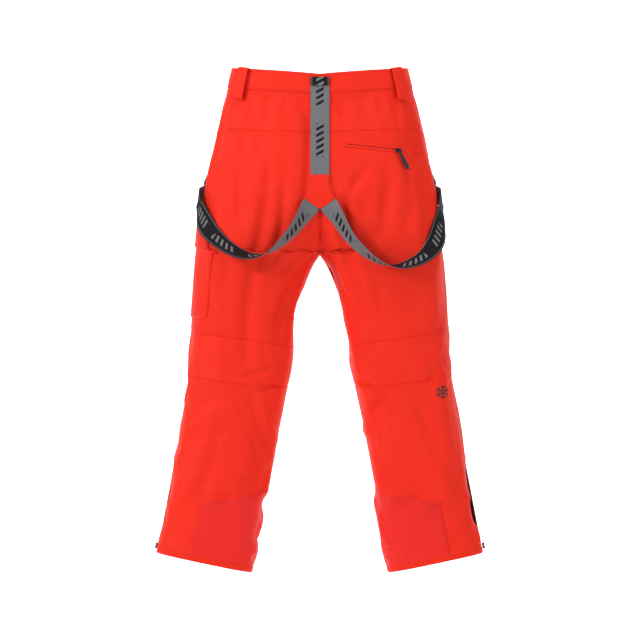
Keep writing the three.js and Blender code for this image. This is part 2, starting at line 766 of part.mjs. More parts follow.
// From the arm of the brace yoke, down and out over the seat, turning over at its lowest point, then up round
// the hip and over the front of the thigh to the waistband. The straps hang unevenly.
const strapFront = [
  [247, 258, 15, 176, 1],
  [226, 206, 15, 180, 1],
  [196, 158, 14, 180, 1],
  [128, 74, 13, 180, 1],
  [108, 45, 3.3, 180, 1],
];
const strapRoutes = {
  left: [
    [16.9, 286.6, 4.5, 6],
    [35.5, 314, 13, 38],
    [54, 340, 19, 52],
    [76, 363, 22, 62],
    [98, 382, 24, 78],
    [118, 391, 25, 95],
    [142, 394, 26, 108],
    [168, 387, 26, 120],
    [195, 372, 25, 128],
    [222, 350, 23, 134],
    [243, 326, 20, 142],
    [256, 294, 16, 160],
    [259, 276, 17, 170],
    ...strapFront,
  ],
  right: [
    [16.9, 286.6, 4.5, 6],
    [36.5, 315.5, 13, 36],
    [60, 354, 19, 50],
    [90, 385, 22, 62],
    [118, 404, 23, 76],
    [144, 413, 24, 92],
    [168, 414, 23, 106],
    [196, 405, 20, 118],
    [222, 388, 18, 126],
    [245, 362, 16, 134],
    [256, 326, 14, 150],
    [256, 294, 15, 164],
    [259, 276, 17, 170],
    ...strapFront,
  ],
};
const adjusterBorder = 4;
const adjusterLength = 24;
const adjusterWall = 1.8;
function frontBrace(word, side) {
  const group = new THREE.Group();
  const frames = strapFrames(side, strapRoutes[word]);
  const [low, high] = [frames.at(-3), frames.at(-2)];
  const along = high.centre.clone().sub(low.centre).normalize();
  const across = low.across.clone().addScaledVector(along, -low.across.dot(along)).normalize();
  const facing = new THREE.Vector3().crossVectors(along, across);
  for (const end of [low, high]) Object.assign(end, { across, facing }); // flat through the adjuster
  group.add(ribbon(`brace_strap_${word}`, frames, strapWall, webbing));
  const room = { wide: strapWidth / 2 + 1, high: strapWall / 2 + 0.6 };
  const frame = outline(rectangle(room.wide + adjusterBorder, room.high + adjusterWall));
  frame.holes.push(new THREE.Path(rectangle(room.wide, room.high).map(([x, y]) => new THREE.Vector2(x, y))));
  const start = low.centre.clone().addScaledVector(along, adjusterStart);
  const adjuster = extruded(frame, adjusterLength);
  group.add(placed(`brace_adjuster_${word}`, adjuster, plastic, [across, facing, along], start));
  return group;
}
const adjusterStart = 10;
const rectangle = (x, y) => [[-x, -y], [x, -y], [x, y], [-x, y]];

// ---- thigh pocket, on the wearer's left ----
const flapAngles = [2.17, 4.2]; // from the back of the thigh round its outer side
const flapDrop = 340;
const flapRise = 36;
const flapHeight = 48;
const pocketLow = 520;
const pocketLift = [1.6, 5.2];
const flapLift = [pocketLift[1] + 1.1, pocketLift[1] + 3.1];
function thighPocket() {
  const patch = (name, trim, topOf, lowOf, lifts) => {
    const layer = (lift) =>
      grid(10, 5, (u, v) => {
        const angle = flapAngles[0] + trim + (flapAngles[1] - flapAngles[0] - 2 * trim) * u;
        const top = topOf(u);
        return legPoint(-1, angle, top + (lowOf(u) - top) * v, -lift);
      });
    return sheetSolid(name, layer(lifts[1]), layer(lifts[0]), shellCloth);
  };
  const flapTop = (u) => flapDrop - flapRise * u;
  const group = new THREE.Group();
  group.add(patch("thigh_pocket", 0.03, (u) => flapTop(u) + 3, () => pocketLow, pocketLift));
  group.add(patch("thigh_flap", 0, flapTop, (u) => flapTop(u) + flapHeight, flapLift));
  return group;
}

const bandTopDrop = bandDip + 6;
const braceEndLow = 41;
const armHalf = 31; // half the width of the brace yoke at its arms
const armDrop = 276;
const yokeWall = 3;

// The centre strap hangs from the back of the waistband, over the shell.
function centreStrap() {
  const lift = bandWall - shellWall + 2 * clearance + strapWall / 2;
  const stations = (drops) =>
    drops.map((drop) => ({
      centre: onSurface(0, drop, -1, lift),
      across: new THREE.Vector3(1, 0, 0),
      facing: new THREE.Vector3(0, -1, 0),
      half: strapWidth / 2,
    }));
  const group = new THREE.Group();
  const endDrops = [bandTopDrop, braceEndLow - seamGap];
  group.add(ribbon("brace_back_end", stations(endDrops), strapWall, darkWebbing));
  const drops = [braceEndLow, bandLow(0), 90, 130, 180, centreStrapLow - seamGap];
  group.add(ribbon("brace_back_strap", stations(drops), strapWall, webbing));
  const face = -(depthAt(backDepth, hipDrop) + lift - strapWall / 2);
  const shape = outline([
    [-strapWidth / 2, -centreStrapLow],
    [strapWidth / 2, -centreStrapLow],
    [armHalf, -armDrop],
    [0, -braceYokeLow],
    [-armHalf, -armDrop],
  ]);
  const axes = [new THREE.Vector3(1, 0, 0), new THREE.Vector3(0, 0, 1), new THREE.Vector3(0, -1, 0)];
  group.add(placed("brace_yoke", extruded(shape, yokeWall), shellCloth, axes, new THREE.Vector3(0, face, 0)));
  return group;
}

root.add(outerShell(), waistband(), waistFacing(), backPocket(), fly(), waistTab());
root.add(centreStrap(), thighPocket());
for (const [word, side] of sides) {
  root.add(lining(word, side), gaiter(word, side));
  root.add(beltLoop(`belt_loop_back_${word}`, side, backLoopShare));
  root.add(beltLoop(`belt_loop_front_${word}`, side, 2 - frontLoopShare));
  root.add(handPocket(word, side), legZip(word, side), frontBrace(word, side));
}

export default root;
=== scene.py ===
# Insulated ski pants with webbing braces, seen from behind, on a plain pale floor.
# Lengths in the code are millimetres unless a name ends in _m. The CAD frame is in metres.
import json
import math

import bmesh
import bpy
import numpy as np
from mathutils import Matrix, Vector

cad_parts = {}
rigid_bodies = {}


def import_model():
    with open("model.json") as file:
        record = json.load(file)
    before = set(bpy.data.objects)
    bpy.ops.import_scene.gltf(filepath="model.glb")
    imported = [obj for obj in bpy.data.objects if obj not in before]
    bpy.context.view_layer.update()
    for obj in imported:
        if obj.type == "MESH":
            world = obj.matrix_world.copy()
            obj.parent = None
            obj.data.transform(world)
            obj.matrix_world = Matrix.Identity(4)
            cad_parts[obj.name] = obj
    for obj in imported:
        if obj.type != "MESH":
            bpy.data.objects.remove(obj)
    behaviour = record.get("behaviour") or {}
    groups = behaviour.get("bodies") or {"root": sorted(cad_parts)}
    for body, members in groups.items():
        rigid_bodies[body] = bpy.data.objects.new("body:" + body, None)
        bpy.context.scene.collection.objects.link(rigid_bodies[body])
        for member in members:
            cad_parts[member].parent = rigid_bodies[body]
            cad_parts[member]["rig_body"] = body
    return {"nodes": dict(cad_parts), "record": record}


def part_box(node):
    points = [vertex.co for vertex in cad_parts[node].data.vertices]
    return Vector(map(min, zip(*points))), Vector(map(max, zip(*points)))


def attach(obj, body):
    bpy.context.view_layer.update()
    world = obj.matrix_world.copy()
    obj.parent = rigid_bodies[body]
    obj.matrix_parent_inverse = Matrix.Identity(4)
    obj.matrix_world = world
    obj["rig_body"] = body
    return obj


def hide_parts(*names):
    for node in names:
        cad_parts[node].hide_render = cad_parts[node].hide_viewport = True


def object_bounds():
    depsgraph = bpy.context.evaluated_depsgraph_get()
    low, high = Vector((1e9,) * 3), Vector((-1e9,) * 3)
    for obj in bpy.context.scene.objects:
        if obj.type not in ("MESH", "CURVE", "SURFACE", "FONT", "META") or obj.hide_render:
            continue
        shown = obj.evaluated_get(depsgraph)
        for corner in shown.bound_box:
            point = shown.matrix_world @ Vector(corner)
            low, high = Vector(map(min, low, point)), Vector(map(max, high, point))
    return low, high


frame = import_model()
cad_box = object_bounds()
nodes = frame["nodes"]
slots = {row["node"]: row["material_slot"] for row in frame["record"]["subparts"]}
PI = math.pi
SIDES = (("left", -1), ("right", 1))  # the wearer's left is at -X


def unit(v):
    return v / np.linalg.norm(v)


def link(piece):
    bpy.context.scene.collection.objects.link(piece)
    return piece


# ---- camera ----
VIEW_WIDTH = 1.333  # metres of the object's middle plane that the picture spans
CAMERA_FAR = 9.0  # far enough for nearly parallel lines of sight
VIEW_HEIGHT = -0.525
camera_data = bpy.data.cameras.new("camera")
SENSOR = 36
camera_data.sensor_width = SENSOR
camera_data.lens = SENSOR * CAMERA_FAR / VIEW_WIDTH
camera = link(bpy.data.objects.new("camera", camera_data))
camera.location = (0, -CAMERA_FAR, VIEW_HEIGHT)
camera.rotation_euler = (PI / 2, 0, 0)
bpy.context.scene.camera = camera
bpy.context.scene.view_settings.view_transform = "Standard"

# ---- the garment's own dimensions, as in the part ----
OUTSEAM = 1048
HIP, CROTCH, KNEE = 233, 383, 640  # drops below the top of the waist
HEM_OUTER, HEM_INNER = 342, 141
HEM_TILT = 0.2
HEM_LEVEL = OUTSEAM - (HEM_OUTER - HEM_INNER) * math.tan(HEM_TILT)
ZIP_LENGTH = 200
ZIP_TOP = HEM_LEVEL - ZIP_LENGTH
OUTER = [(0, 182), (HIP, 238), (CROTCH, 255), (KNEE, 278), (ZIP_TOP, 304), (HEM_LEVEL, HEM_OUTER)]
INNER = [(HIP, -238), (CROTCH, 0), (KNEE, 66), (OUTSEAM, HEM_INNER)]
BACK = [(0, 92), (HIP, 118), (CROTCH, 116), (KNEE, 88), (OUTSEAM, 74)]
FRONT = [(0, 88), (HIP, 104), (CROTCH, 104), (KNEE, 92), (OUTSEAM, 70)]
BAND = 43
WAIST_DIP = {"back": 17, "front": 30}
HEM_BAND = 12
STRAP_WIDTH = 39


def spline(keys, at):
    keys = np.array(keys, float)
    at = np.asarray(at, float)
    d, v = keys[:, 0], keys[:, 1]
    before, after = np.r_[0, np.arange(len(d) - 1)], np.r_[np.arange(1, len(d)), len(d) - 1]
    slope = (v[after] - v[before]) / (d[after] - d[before])
    k = np.clip(np.searchsorted(d, at, "right") - 1, 0, len(d) - 2)
    span = d[k + 1] - d[k]
    t = np.clip((at - d[k]) / span, 0, 1)
    inside = ((2 * t**3 - 3 * t**2 + 1) * v[k] + (t**3 - 2 * t**2 + t) * span * slope[k]
              + (3 * t**2 - 2 * t**3) * v[k + 1] + (t**3 - t**2) * span * slope[k + 1])
    return inside + np.where(at > d[-1], slope[-1] * (at - d[-1]), 0)


def outer_x(drop):
    return spline(OUTER, drop)


def inner_x(drop):
    return np.where(np.asarray(drop) <= HIP, -outer_x(drop), spline(INNER, np.maximum(drop, HIP)))


def section(drop, front):
    """Centre, half width and depth of one leg's level section, and how fast each changes with the drop."""
    def at(d):
        o, i = outer_x(d), inner_x(d)
        return (o + i) / 2, (o - i) / 2, np.where(front, spline(FRONT, d), spline(BACK, d))
    low, here, high = at(drop - 0.5), at(drop), at(drop + 0.5)
    return here, [h - l for h, l in zip(high, low)]


def start_turn(drop):
    """Direction, from the inseam, of the section's point on the centre plane. It is 0 once the legs part."""
    o, i = outer_x(drop), inner_x(drop)
    share = np.clip((o + i) / np.maximum(o - i, 1e-6), 0, 1)
    y = (1 - share**3) ** (1 / 3)
    return np.where(share >= 1, 0.0, np.arctan2(y, share))


def raw(side, turn, drop):
    """Points of the smooth surface and its outward normals. turn is 0 centre back, 1 side seam and
    2 centre front."""
    turn, drop = np.broadcast_arrays(np.asarray(turn, float), np.asarray(drop, float))
    front = turn > 1
    first = start_turn(drop)
    phi = first + (PI - first) * np.where(front, 2 - turn, turn)
    (c, a, b), (dc, da, db) = section(drop, front)
    cosine, sine = np.cos(phi), np.abs(np.sin(phi))
    rho = (np.abs(cosine) ** 3 + sine**3) ** (-1 / 3)
    u, w = -rho * cosine, rho * sine
    face = np.where(front, 1.0, -1.0)
    x, y = c + a * u, face * b * w
    nx = u * np.abs(u) / a
    ny = face * w * w / b
    nz = u * np.abs(u) * (dc + u * da) / a + w**3 * db / b
    at_centre = (first > 0) & (np.minimum(turn, 2 - turn) < 1e-9)
    x = np.where(at_centre, 0.0, x)
    nx = np.where(at_centre, 0.0, nx)
    normal = np.stack([side * nx, ny, nz], -1)
    normal /= np.linalg.norm(normal, axis=-1, keepdims=True)
    return np.stack([side * x, y, -drop], -1), normal


def turn_at(x, drop, front=False):
    """The turn of the surface's point at that distance from the centre plane."""
    x, drop = np.broadcast_arrays(np.abs(np.asarray(x, float)), np.asarray(drop, float))
    o, i = outer_x(drop), inner_x(drop)
    u = np.clip((x - (o + i) / 2) / ((o - i) / 2), -1, 1)
    phi = np.arctan2((1 - np.abs(u) ** 3) ** (1 / 3), -u)
    first = start_turn(drop)
    share = np.clip((phi - first) / (PI - first), 0, 1)
    return 2 - share if front else share


def near_centre(turn):
    return 1 - np.minimum(turn, 2 - turn)


def waist_top(turn):
    return np.where(turn > 1, WAIST_DIP["front"], WAIST_DIP["back"]) * near_centre(turn) ** 1.6


def band_low(turn):
    return waist_top(turn) + BAND


def yoke_seam(turn):
    return 126 + 13 * near_centre(turn) ** 0.8


def knee_top(turn):
    return np.where(turn > 1, 545 + 5 * near_centre(turn), 543 + 46 * near_centre(turn) ** 1.1)


def knee_low(turn):
    return 628 + 34 * np.sin(np.clip(near_centre(turn), 0, 1) * PI * 0.62)


def hem_line(turn):
    x = np.abs(raw(1, turn, np.full(np.shape(turn), HEM_LEVEL))[0][..., 0])
    return HEM_LEVEL + (HEM_OUTER - x) * math.tan(HEM_TILT)


def hem_top(turn):
    return hem_line(turn) - HEM_BAND


# ---- folds ----
# Each crease: points (x, drop) along it on one face, its half width, its depth. The wearer's left has
# negative x.
BACK_CREASES = [
    ([(-46, 70), (-27, 110), (-25, 180), (-29, 250), (-40, 310)], 9, 6.5),
    ([(-111, 143), (-104, 212), (-115, 310), (-126, 372), (-146, 483), (-154, 594), (-160, 650)], 13, 4.6),
    ([(-150, 120), (-165, 220), (-160, 330)], 16, 2.4),
    ([(-200, 185), (-207, 260), (-196, 400), (-206, 500)], 15, 2.6),
    ([(-69, 170), (-77, 275), (-84, 350), (-110, 440)], 11, 3.4),
    ([(0, 366), (-48, 435), (-83, 510), (-92, 594)], 10, 5.5),
    ([(-3, 395), (-26, 450), (-48, 520)], 7, 4.0),
    ([(-8, 350), (-60, 400), (-100, 450)], 9, 3.0),
    ([(34, 75), (44, 95), (60, 108)], 7, 2.6),
    ([(24, 215), (44, 300), (60, 400), (86, 497), (92, 560)], 12, 7.0),
    ([(6, 366), (36, 430), (66, 500), (78, 573)], 8, 5.0),
    ([(96, 210), (62, 262), (50, 320)], 10, 3.6),
    ([(131, 190), (140, 233), (134, 310), (122, 372)], 14, 3.2),
    ([(176, 190), (186, 260), (178, 350)], 14, 2.4),
    ([(206, 215), (221, 290), (218, 360)], 11, 2.8),
    ([(118, 430), (112, 520), (126, 600)], 18, 2.6),
    ([(190, 420), (200, 520), (212, 610)], 22, 2.0),
    ([(70, 640), (110, 668), (138, 690)], 7, 3.6),
    ([(98, 672), (124, 690), (112, 726), (98, 770)], 8, 4.4),
    ([(86, 740), (110, 708), (150, 672)], 7, 4.0),
    ([(92, 800), (112, 756), (140, 726)], 9, 3.4),
    ([(200, 690), (226, 760), (258, 820), (306, 884)], 16, 3.4),
    ([(226, 880), (262, 960), (300, 1000)], 14, 2.4),
    ([(180, 860), (186, 960), (190, 1020)], 16, 1.8),
    ([(-145, 668), (-124, 740), (-100, 800)], 9, 4.2),
    ([(-160, 650), (-150, 720), (-128, 790), (-118, 850)], 14, 2.8),
    ([(-236, 660), (-250, 740), (-262, 800)], 13, 3.0),
    ([(-210, 740), (-226, 830), (-262, 910), (-310, 970)], 16, 3.2),
    ([(-96, 620), (-128, 634), (-160, 640)], 8, 3.4),
    ([(-80, 650), (-110, 668), (-140, 672)], 7, 3.0),
    ([(-190, 860), (-196, 940), (-200, 1010)], 18, 1.8),
    ([(-232, 520), (-240, 600), (-246, 660)], 14, 2.2),
]
FRONT_CREASES = [
    ([(4, 366), (44, 420), (84, 500)], 10, 5.5),
    ([(-4, 366), (-46, 430), (-80, 505)], 10, 5.5),
    ([(20, 330), (76, 350), (130, 352)], 12, 3.6),
    ([(-20, 330), (-80, 346), (-136, 356)], 12, 3.6),
    ([(96, 120), (104, 220), (96, 320)], 15, 3.0),
    ([(-92, 130), (-108, 230), (-98, 330)], 15, 3.0),
    ([(150, 400), (166, 500), (160, 620)], 17, 3.0),
    ([(-156, 390), (-168, 500), (-166, 620)], 17, 3.0),
    ([(90, 640), (150, 668), (210, 660)], 11, 3.4),
    ([(-92, 650), (-150, 664), (-214, 654)], 11, 3.4),
    ([(120, 700), (146, 780), (178, 860)], 14, 3.2),
    ([(-118, 700), (-150, 790), (-176, 866)], 14, 3.2),
    ([(236, 700), (240, 800), (264, 900)], 14, 2.8),
    ([(-238, 690), (-246, 800), (-262, 900)], 14, 2.8),
]


def cubic_steps(p, parts):
    """Catmull-Rom values between p[1] and p[-2], parts steps between each two, without the last."""
    out = []
    for k in range(1, len(p) - 2):
        for t in np.arange(parts) / parts:
            out.append(0.5 * (2 * p[k] + (p[k + 1] - p[k - 1]) * t
                              + (2 * p[k - 1] - 5 * p[k] + 4 * p[k + 1] - p[k + 2]) * t * t
                              + (3 * p[k] - p[k - 1] - 3 * p[k + 1] + p[k + 2]) * t**3))
    return out


def smooth_line(points, parts):
    """A smooth line through the points."""
    p = np.array(points, float)
    p = np.vstack([2 * p[0] - p[1], p, 2 * p[-1] - p[-2]])
    return np.vstack([cubic_steps(p, parts), p[-2]])


def crease_depths(x, drop, creases):
    """Displacement, negative inwards: a trough with a soft roll of cloth each side, fading at both ends."""
    total = np.zeros_like(x)
    for line, half, depth in creases:
        points = smooth_line(line, 6)
        a, b = points[:-1], points[1:]
        best = np.full(x.shape, 1e9)
        along = np.zeros_like(x)
        for k in range(len(a)):
            d = b[k] - a[k]
            t = np.clip(((x - a[k, 0]) * d[0] + (drop - a[k, 1]) * d[1]) / (d @ d), 0, 1)
            gap = np.hypot(x - a[k, 0] - t * d[0], drop - a[k, 1] - t * d[1])
            nearer = gap < best
            best = np.where(nearer, gap, best)
            along = np.where(nearer, (k + t) / len(a), along)
        fade = np.clip(np.minimum(along, 1 - along) / 0.22, 0.0, 1) ** 0.8
        r = best / half
        total += depth * fade * (-np.exp(-(r**2)) + 0.42 * np.exp(-((r - 1.9) / 0.8) ** 2))
    return total


def between_cells(table, u, v):
    """Values of a table between its cells."""
    i, j = np.minimum(u.astype(int), table.shape[0] - 2), np.minimum(v.astype(int), table.shape[1] - 2)
    fu, fv = u - i, v - j
    return ((table[i, j] * (1 - fu) + table[i + 1, j] * fu) * (1 - fv)
            + (table[i, j + 1] * (1 - fu) + table[i + 1, j + 1] * fu) * fv)


def value_noise(x, y, cell, seed):
    """Smooth noise from -1 to 1 on a grid of cells."""
    table = np.random.default_rng(seed).uniform(-1, 1, (64, 64))
    u, v = x / cell, y / cell
    i, j = np.floor(u).astype(int), np.floor(v).astype(int)
    fu, fv = u - i, v - j
    fu, fv = fu * fu * (3 - 2 * fu), fv * fv * (3 - 2 * fv)
    g = lambda a, b: table[(i + a) % 64, (j + b) % 64]
    return (g(0, 0) * (1 - fu) + g(1, 0) * fu) * (1 - fv) + (g(0, 1) * (1 - fu) + g(1, 1) * fu) * fv


# ---- cloth simulation of the whole garment, which gives its small creases ----
SIM_COLUMNS = 64
SIM_ROWS = 104
SIM_FRAMES = 22
LEVEL = 300  # the row at this drop is level, all round
SPLIT = 0.27  # and this share of the rows lies above it


def sim_drop(turn, t):
    top, low = band_low(turn), hem_line(turn)
    return np.where(t < SPLIT, top + (LEVEL - top) * t / SPLIT,
                    LEVEL + (low - LEVEL) * (t - SPLIT) / (1 - SPLIT))


def sim_share(turn, drop):
    """The other way round: the share of the rows above a drop."""
    top, low = band_low(turn), hem_line(turn)
    return np.clip(np.where(drop < LEVEL, SPLIT * (drop - top) / (LEVEL - top),
                            SPLIT + (1 - SPLIT) * (drop - LEVEL) / (low - LEVEL)), 0, 1)


def simulate():
    """Normal displacement, mm, of each side's grid of turns and rows."""
    turn = np.linspace(0, 2, SIM_COLUMNS + 1)[:, None] + np.zeros(SIM_ROWS + 1)
    t = np.linspace(0, 1, SIM_ROWS + 1)[None, :] + np.zeros((SIM_COLUMNS + 1, 1))
    drop = sim_drop(turn, t)
    bases = [raw(side, turn, drop) for side in (-1, 1)]
    seeded = []
    for side, (p, n) in zip((-1, 1), bases):
        seed = 0.8 * value_noise(turn * 300, drop, 38, 3 + side) * np.sin(PI * t)
        seeded.append(p + n * seed[..., None])
    points = np.concatenate([s.reshape(-1, 3) for s in seeded]) / 1000
    keys = np.round(np.concatenate([p.reshape(-1, 3) for p, _ in bases]), 2)
    _, first, inverse = np.unique(keys, axis=0, return_index=True, return_inverse=True)
    inverse = inverse.reshape(-1)
    step = SIM_ROWS + 1
    faces = []
    for s in range(2):
        for i in range(SIM_COLUMNS):
            for j in range(SIM_ROWS):
                k = s * (SIM_COLUMNS + 1) * step + i * step + j
                quad = [k, k + 1, k + step + 1, k + step]
                quad = [int(inverse[q]) for q in (quad if s else quad[::-1])]
                if len(set(quad)) == 4:
                    faces.append(quad)
    mesh = bpy.data.meshes.new("sim")
    mesh.from_pydata([tuple(points[f]) for f in first], [], faces)
    body = link(bpy.data.objects.new("sim", mesh))
    all_t = np.concatenate([t.reshape(-1)] * 2)[first]
    all_turn = np.concatenate([turn.reshape(-1)] * 2)[first]
    pin = body.vertex_groups.new(name="pin")
    hold = np.clip(1 - all_t / 0.03, 0, 1) + np.clip((all_t - 0.975) / 0.02, 0, 1)
    hold = np.maximum(hold, 0.25 * np.exp(-((all_turn - 1) / 0.03) ** 2))
    for k, weight in enumerate(hold):
        if weight > 0.02:
            pin.add([k], float(min(weight, 1)), "REPLACE")
    cloth = body.modifiers.new("cloth", "CLOTH")
    s = cloth.settings
    s.quality = 5
    s.mass = 0.25
    s.tension_stiffness = s.compression_stiffness = 18
    s.shear_stiffness = 8
    s.bending_stiffness = 1.6
    s.shrink_min = s.shrink_max = -0.045
    s.use_pressure = True
    s.uniform_pressure_force = 0.9
    s.vertex_group_mass = "pin"
    s.pin_stiffness = 1.0
    s.effector_weights.gravity = 0.12
    cloth.collision_settings.use_collision = False
    cloth.point_cache.frame_start, cloth.point_cache.frame_end = 1, SIM_FRAMES
    scene = bpy.context.scene
    for f in range(1, SIM_FRAMES + 1):
        scene.frame_set(f)
    bpy.context.view_layer.update()
    graph = bpy.context.evaluated_depsgraph_get()
    done = body.evaluated_get(graph).to_mesh()
    moved = np.zeros(len(done.vertices) * 3)
    done.vertices.foreach_get("co", moved)
    moved = moved.reshape(-1, 3) * 1000
    body.evaluated_get(graph).to_mesh_clear()
    bpy.data.objects.remove(body)
    scene.frame_set(1)
    count = (SIM_COLUMNS + 1) * step
    fields = []
    for s, (p, n) in enumerate(bases):
        here = moved[inverse[s * count:(s + 1) * count]].reshape(p.shape)
        fields.append(((here - p) * n).sum(-1))
    return fields


def refine(field, times=3):
    """The field on a finer grid."""
    def along(f):
        p = np.concatenate([f[:1], f, f[-1:]], 0)
        return np.array(cubic_steps(p, times) + [p[-2]])
    return along(along(field).T).T


def capped(field, inwards, outwards):
    field = field - np.median(field)
    return np.where(field > 0, outwards * np.tanh(field / outwards), inwards * np.tanh(field / inwards))


SIM_IN, SIM_OUT = 7.0, 4.0
fields = [refine(capped(f, SIM_IN, SIM_OUT)) for f in simulate()]


def sim_at(side, turn, drop):
    field = fields[0 if side < 0 else 1]
    u = np.clip(turn / 2, 0, 1) * (field.shape[0] - 1)
    v = sim_share(turn, drop) * (field.shape[1] - 1)
    return between_cells(field, u, v)


FOLD_GAIN = 1.75
DEEPEST = 6.5  # folds go in no further than this, clear of the lining
PULLED_IN = {-1: 5.0, 1: 13.0}  # how far the cloth falls back beside the leg zips


def bump(value, middle, half):
    return np.exp(-(((value - middle) / half) ** 2))


def fold_depth(side, turn, drop, points):
    """How far the cloth stands off the smooth surface, mm."""
    x = points[..., 0]
    back = turn <= 1
    lines = FOLD_GAIN * np.where(back, crease_depths(x, drop, BACK_CREASES),
                                 crease_depths(x, drop, FRONT_CREASES))
    at_side = 1 - 0.75 * bump(turn, 1, 0.12)
    depth = lines * at_side + sim_at(side, turn, drop)
    noise_x = x + np.where(back, 0, 1000)
    depth += 1.5 * value_noise(noise_x, drop * 0.6, 46, 11) * at_side
    depth += 0.7 * value_noise(noise_x, drop * 0.8, 19, 12) * at_side
    # long fine creases that run down the cloth, most of them under the yoke and between the knee seams
    at_knee = (knee_top(turn) + knee_low(turn)) / 2
    run = 0.35 + 0.65 * np.maximum(bump(drop, 300, 190), bump(drop, at_knee, 70))
    streak = value_noise(noise_x + 0.1 * drop, drop * 0.2, 14, 13)
    depth += 2.0 * run * streak * at_side
    # gathers under the waistband at both sides, where it is elastic
    gather = np.clip(1 - np.abs(turn - 0.93) / 0.32, 0, 1)
    below = drop - band_low(turn)
    depth += 1.5 * gather * np.sin(turn * 2 * PI * 17) * np.exp(-np.clip(below, 0, None) / 20)
    # calm where a zip, pocket, strap or loop lies flat on the cloth
    calm = np.clip(1 - np.clip(below, 0, 18) / 18, 0, 1) * (1 - 0.6 * gather)
    line = 163 + (np.abs(x) - 50) * 0.1
    calm = np.maximum(calm, bump(drop, line, 16) * back * (x > 36) * (x < 190))
    calm = np.maximum(calm, bump(np.abs(x), 162, 44) * bump(drop, 178, 125) * ~back)
    calm = np.maximum(calm, bump(np.abs(x), 0, 24) * (drop < 260) * ~back)
    calm = np.maximum(calm, bump(turn, 1, 0.07) * np.clip((drop - ZIP_TOP + 30) / 30, 0, 1))
    calm = np.maximum(calm, np.clip((drop - hem_line(turn) + 40) / 40, 0, 0.8))
    if side < 0:
        on_pocket = np.clip(1.25 - np.abs(turn - 1.01) / 0.3, 0, 1) * bump(drop, 420, 110)
        calm = np.maximum(calm, 0.85 * on_pocket)
    depth = depth * (1 - np.clip(calm, 0, 1))
    depth = np.where(depth < 0, DEEPEST * np.tanh(depth / DEEPEST), depth)
    opened = np.clip((drop - ZIP_TOP + 10) / 80, 0, 1) * np.clip((HEM_LEVEL + 8 - drop) / 90, 0.35, 1)
    # beside the open leg zips the cloth falls back, and under the centre strap it stays low
    depth = depth - PULLED_IN[side] * opened * bump(turn, 1, 0.13)
    under = bump(x, 0, 40) * back * np.clip((305 - drop) / 15, 0, 1)
    ceiling = 5.0 - 4.8 * np.clip(under * 1.6, 0, 1)
    return np.where(depth > 0, ceiling * np.tanh(depth / ceiling), depth)


TABLE_TURNS, TABLE_DROPS, TABLE_END = 521, 356, 1065.0
DIRECT = 60  # sets of more points than this are worked out without the table


def fold_table(side):
    """The folds' depth on a fine grid of turns and drops, so that each point only looks it up."""
    turn = np.linspace(0, 2, TABLE_TURNS)[:, None] + np.zeros(TABLE_DROPS)
    drop = np.linspace(0, TABLE_END, TABLE_DROPS)[None, :] + np.zeros((TABLE_TURNS, 1))
    return fold_depth(side, turn, drop, raw(side, turn, drop)[0])


tables = {side: fold_table(side) for side in (-1, 1)}


def folds_at(side, turn, drop):
    u = np.clip(turn / 2, 0, 1) * (TABLE_TURNS - 1)
    v = np.clip(drop / TABLE_END, 0, 1) * (TABLE_DROPS - 1)
    return between_cells(tables[side], u, v)


def skin(side, turn, drop, lift=0.0):
    """Points on the folded cloth, lifted off it, in mm, and the smooth surface's normals."""
    turn, drop = np.broadcast_arrays(np.asarray(turn, float), np.asarray(drop, float))
    points, normals = raw(side, turn, drop)
    depth = fold_depth(side, turn, drop, points) if turn.size > DIRECT else folds_at(side, turn, drop)
    return points + normals * (depth + lift)[..., None], normals


def on_cloth(x, drop, lift=0.0, front=False):
    """Points on the folded cloth at a distance from the centre plane, on its back or its front."""
    x, drop = np.broadcast_arrays(np.asarray(x, float), np.asarray(drop, float))
    out = np.zeros(x.shape + (3,))
    turn = turn_at(x, drop, front)
    for side in (-1, 1):
        mine = (x < 0) if side < 0 else (x >= 0)
        if mine.any():
            out[mine] = skin(side, turn[mine], drop[mine], np.broadcast_to(lift, x.shape)[mine])[0]
    return out


# ---- meshes ----
def new_mesh(name, vertices, faces, uv, material, body="garment", replaces=(), smooth=True, indices=None):
    """A mesh piece. uv holds one pair for each vertex, in millimetres like the points."""
    mesh = bpy.data.meshes.new(name)
    mesh.from_pydata([tuple(v) for v in np.asarray(vertices, float) / 1000], [], faces)
    layer = mesh.uv_layers.new(name="uv")
    loop_vertex = np.zeros(len(mesh.loops), int)
    mesh.loops.foreach_get("vertex_index", loop_vertex)
    layer.data.foreach_set("uv", (np.asarray(uv, float) / 1000)[loop_vertex].ravel())
    for m in material if isinstance(material, (list, tuple)) else [material]:
        mesh.materials.append(m)
    if indices is not None:
        mesh.polygons.foreach_set("material_index", indices)
    if smooth:
        mesh.polygons.foreach_set("use_smooth", [True] * len(mesh.polygons))
    body_mesh = bmesh.new()
    body_mesh.from_mesh(mesh)
    bmesh.ops.recalc_face_normals(body_mesh, faces=body_mesh.faces)
    body_mesh.to_mesh(mesh)
    body_mesh.free()
    piece = link(bpy.data.objects.new(name, mesh))
    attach(piece, body)
    if replaces:
        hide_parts(*replaces)
    return piece


def grid_faces(columns, rows, closed=False):
    faces = []
    for i in range(columns if closed else columns - 1):
        for j in range(rows - 1):
            a, b = i * rows + j, ((i + 1) % columns) * rows + j
            faces.append((a, b, b + 1, a + 1))
    return faces


def tube_faces(rings, n):
    """Faces of a row of rings of n points, closed at both ends."""
    faces = []
    for a in range(0, (rings - 1) * n, n):
        faces += [(a + j, a + n + j, a + n + (j + 1) % n, a + (j + 1) % n) for j in range(n)]
    return faces + [tuple(range(n))[::-1], tuple((rings - 1) * n + j for j in range(n))]


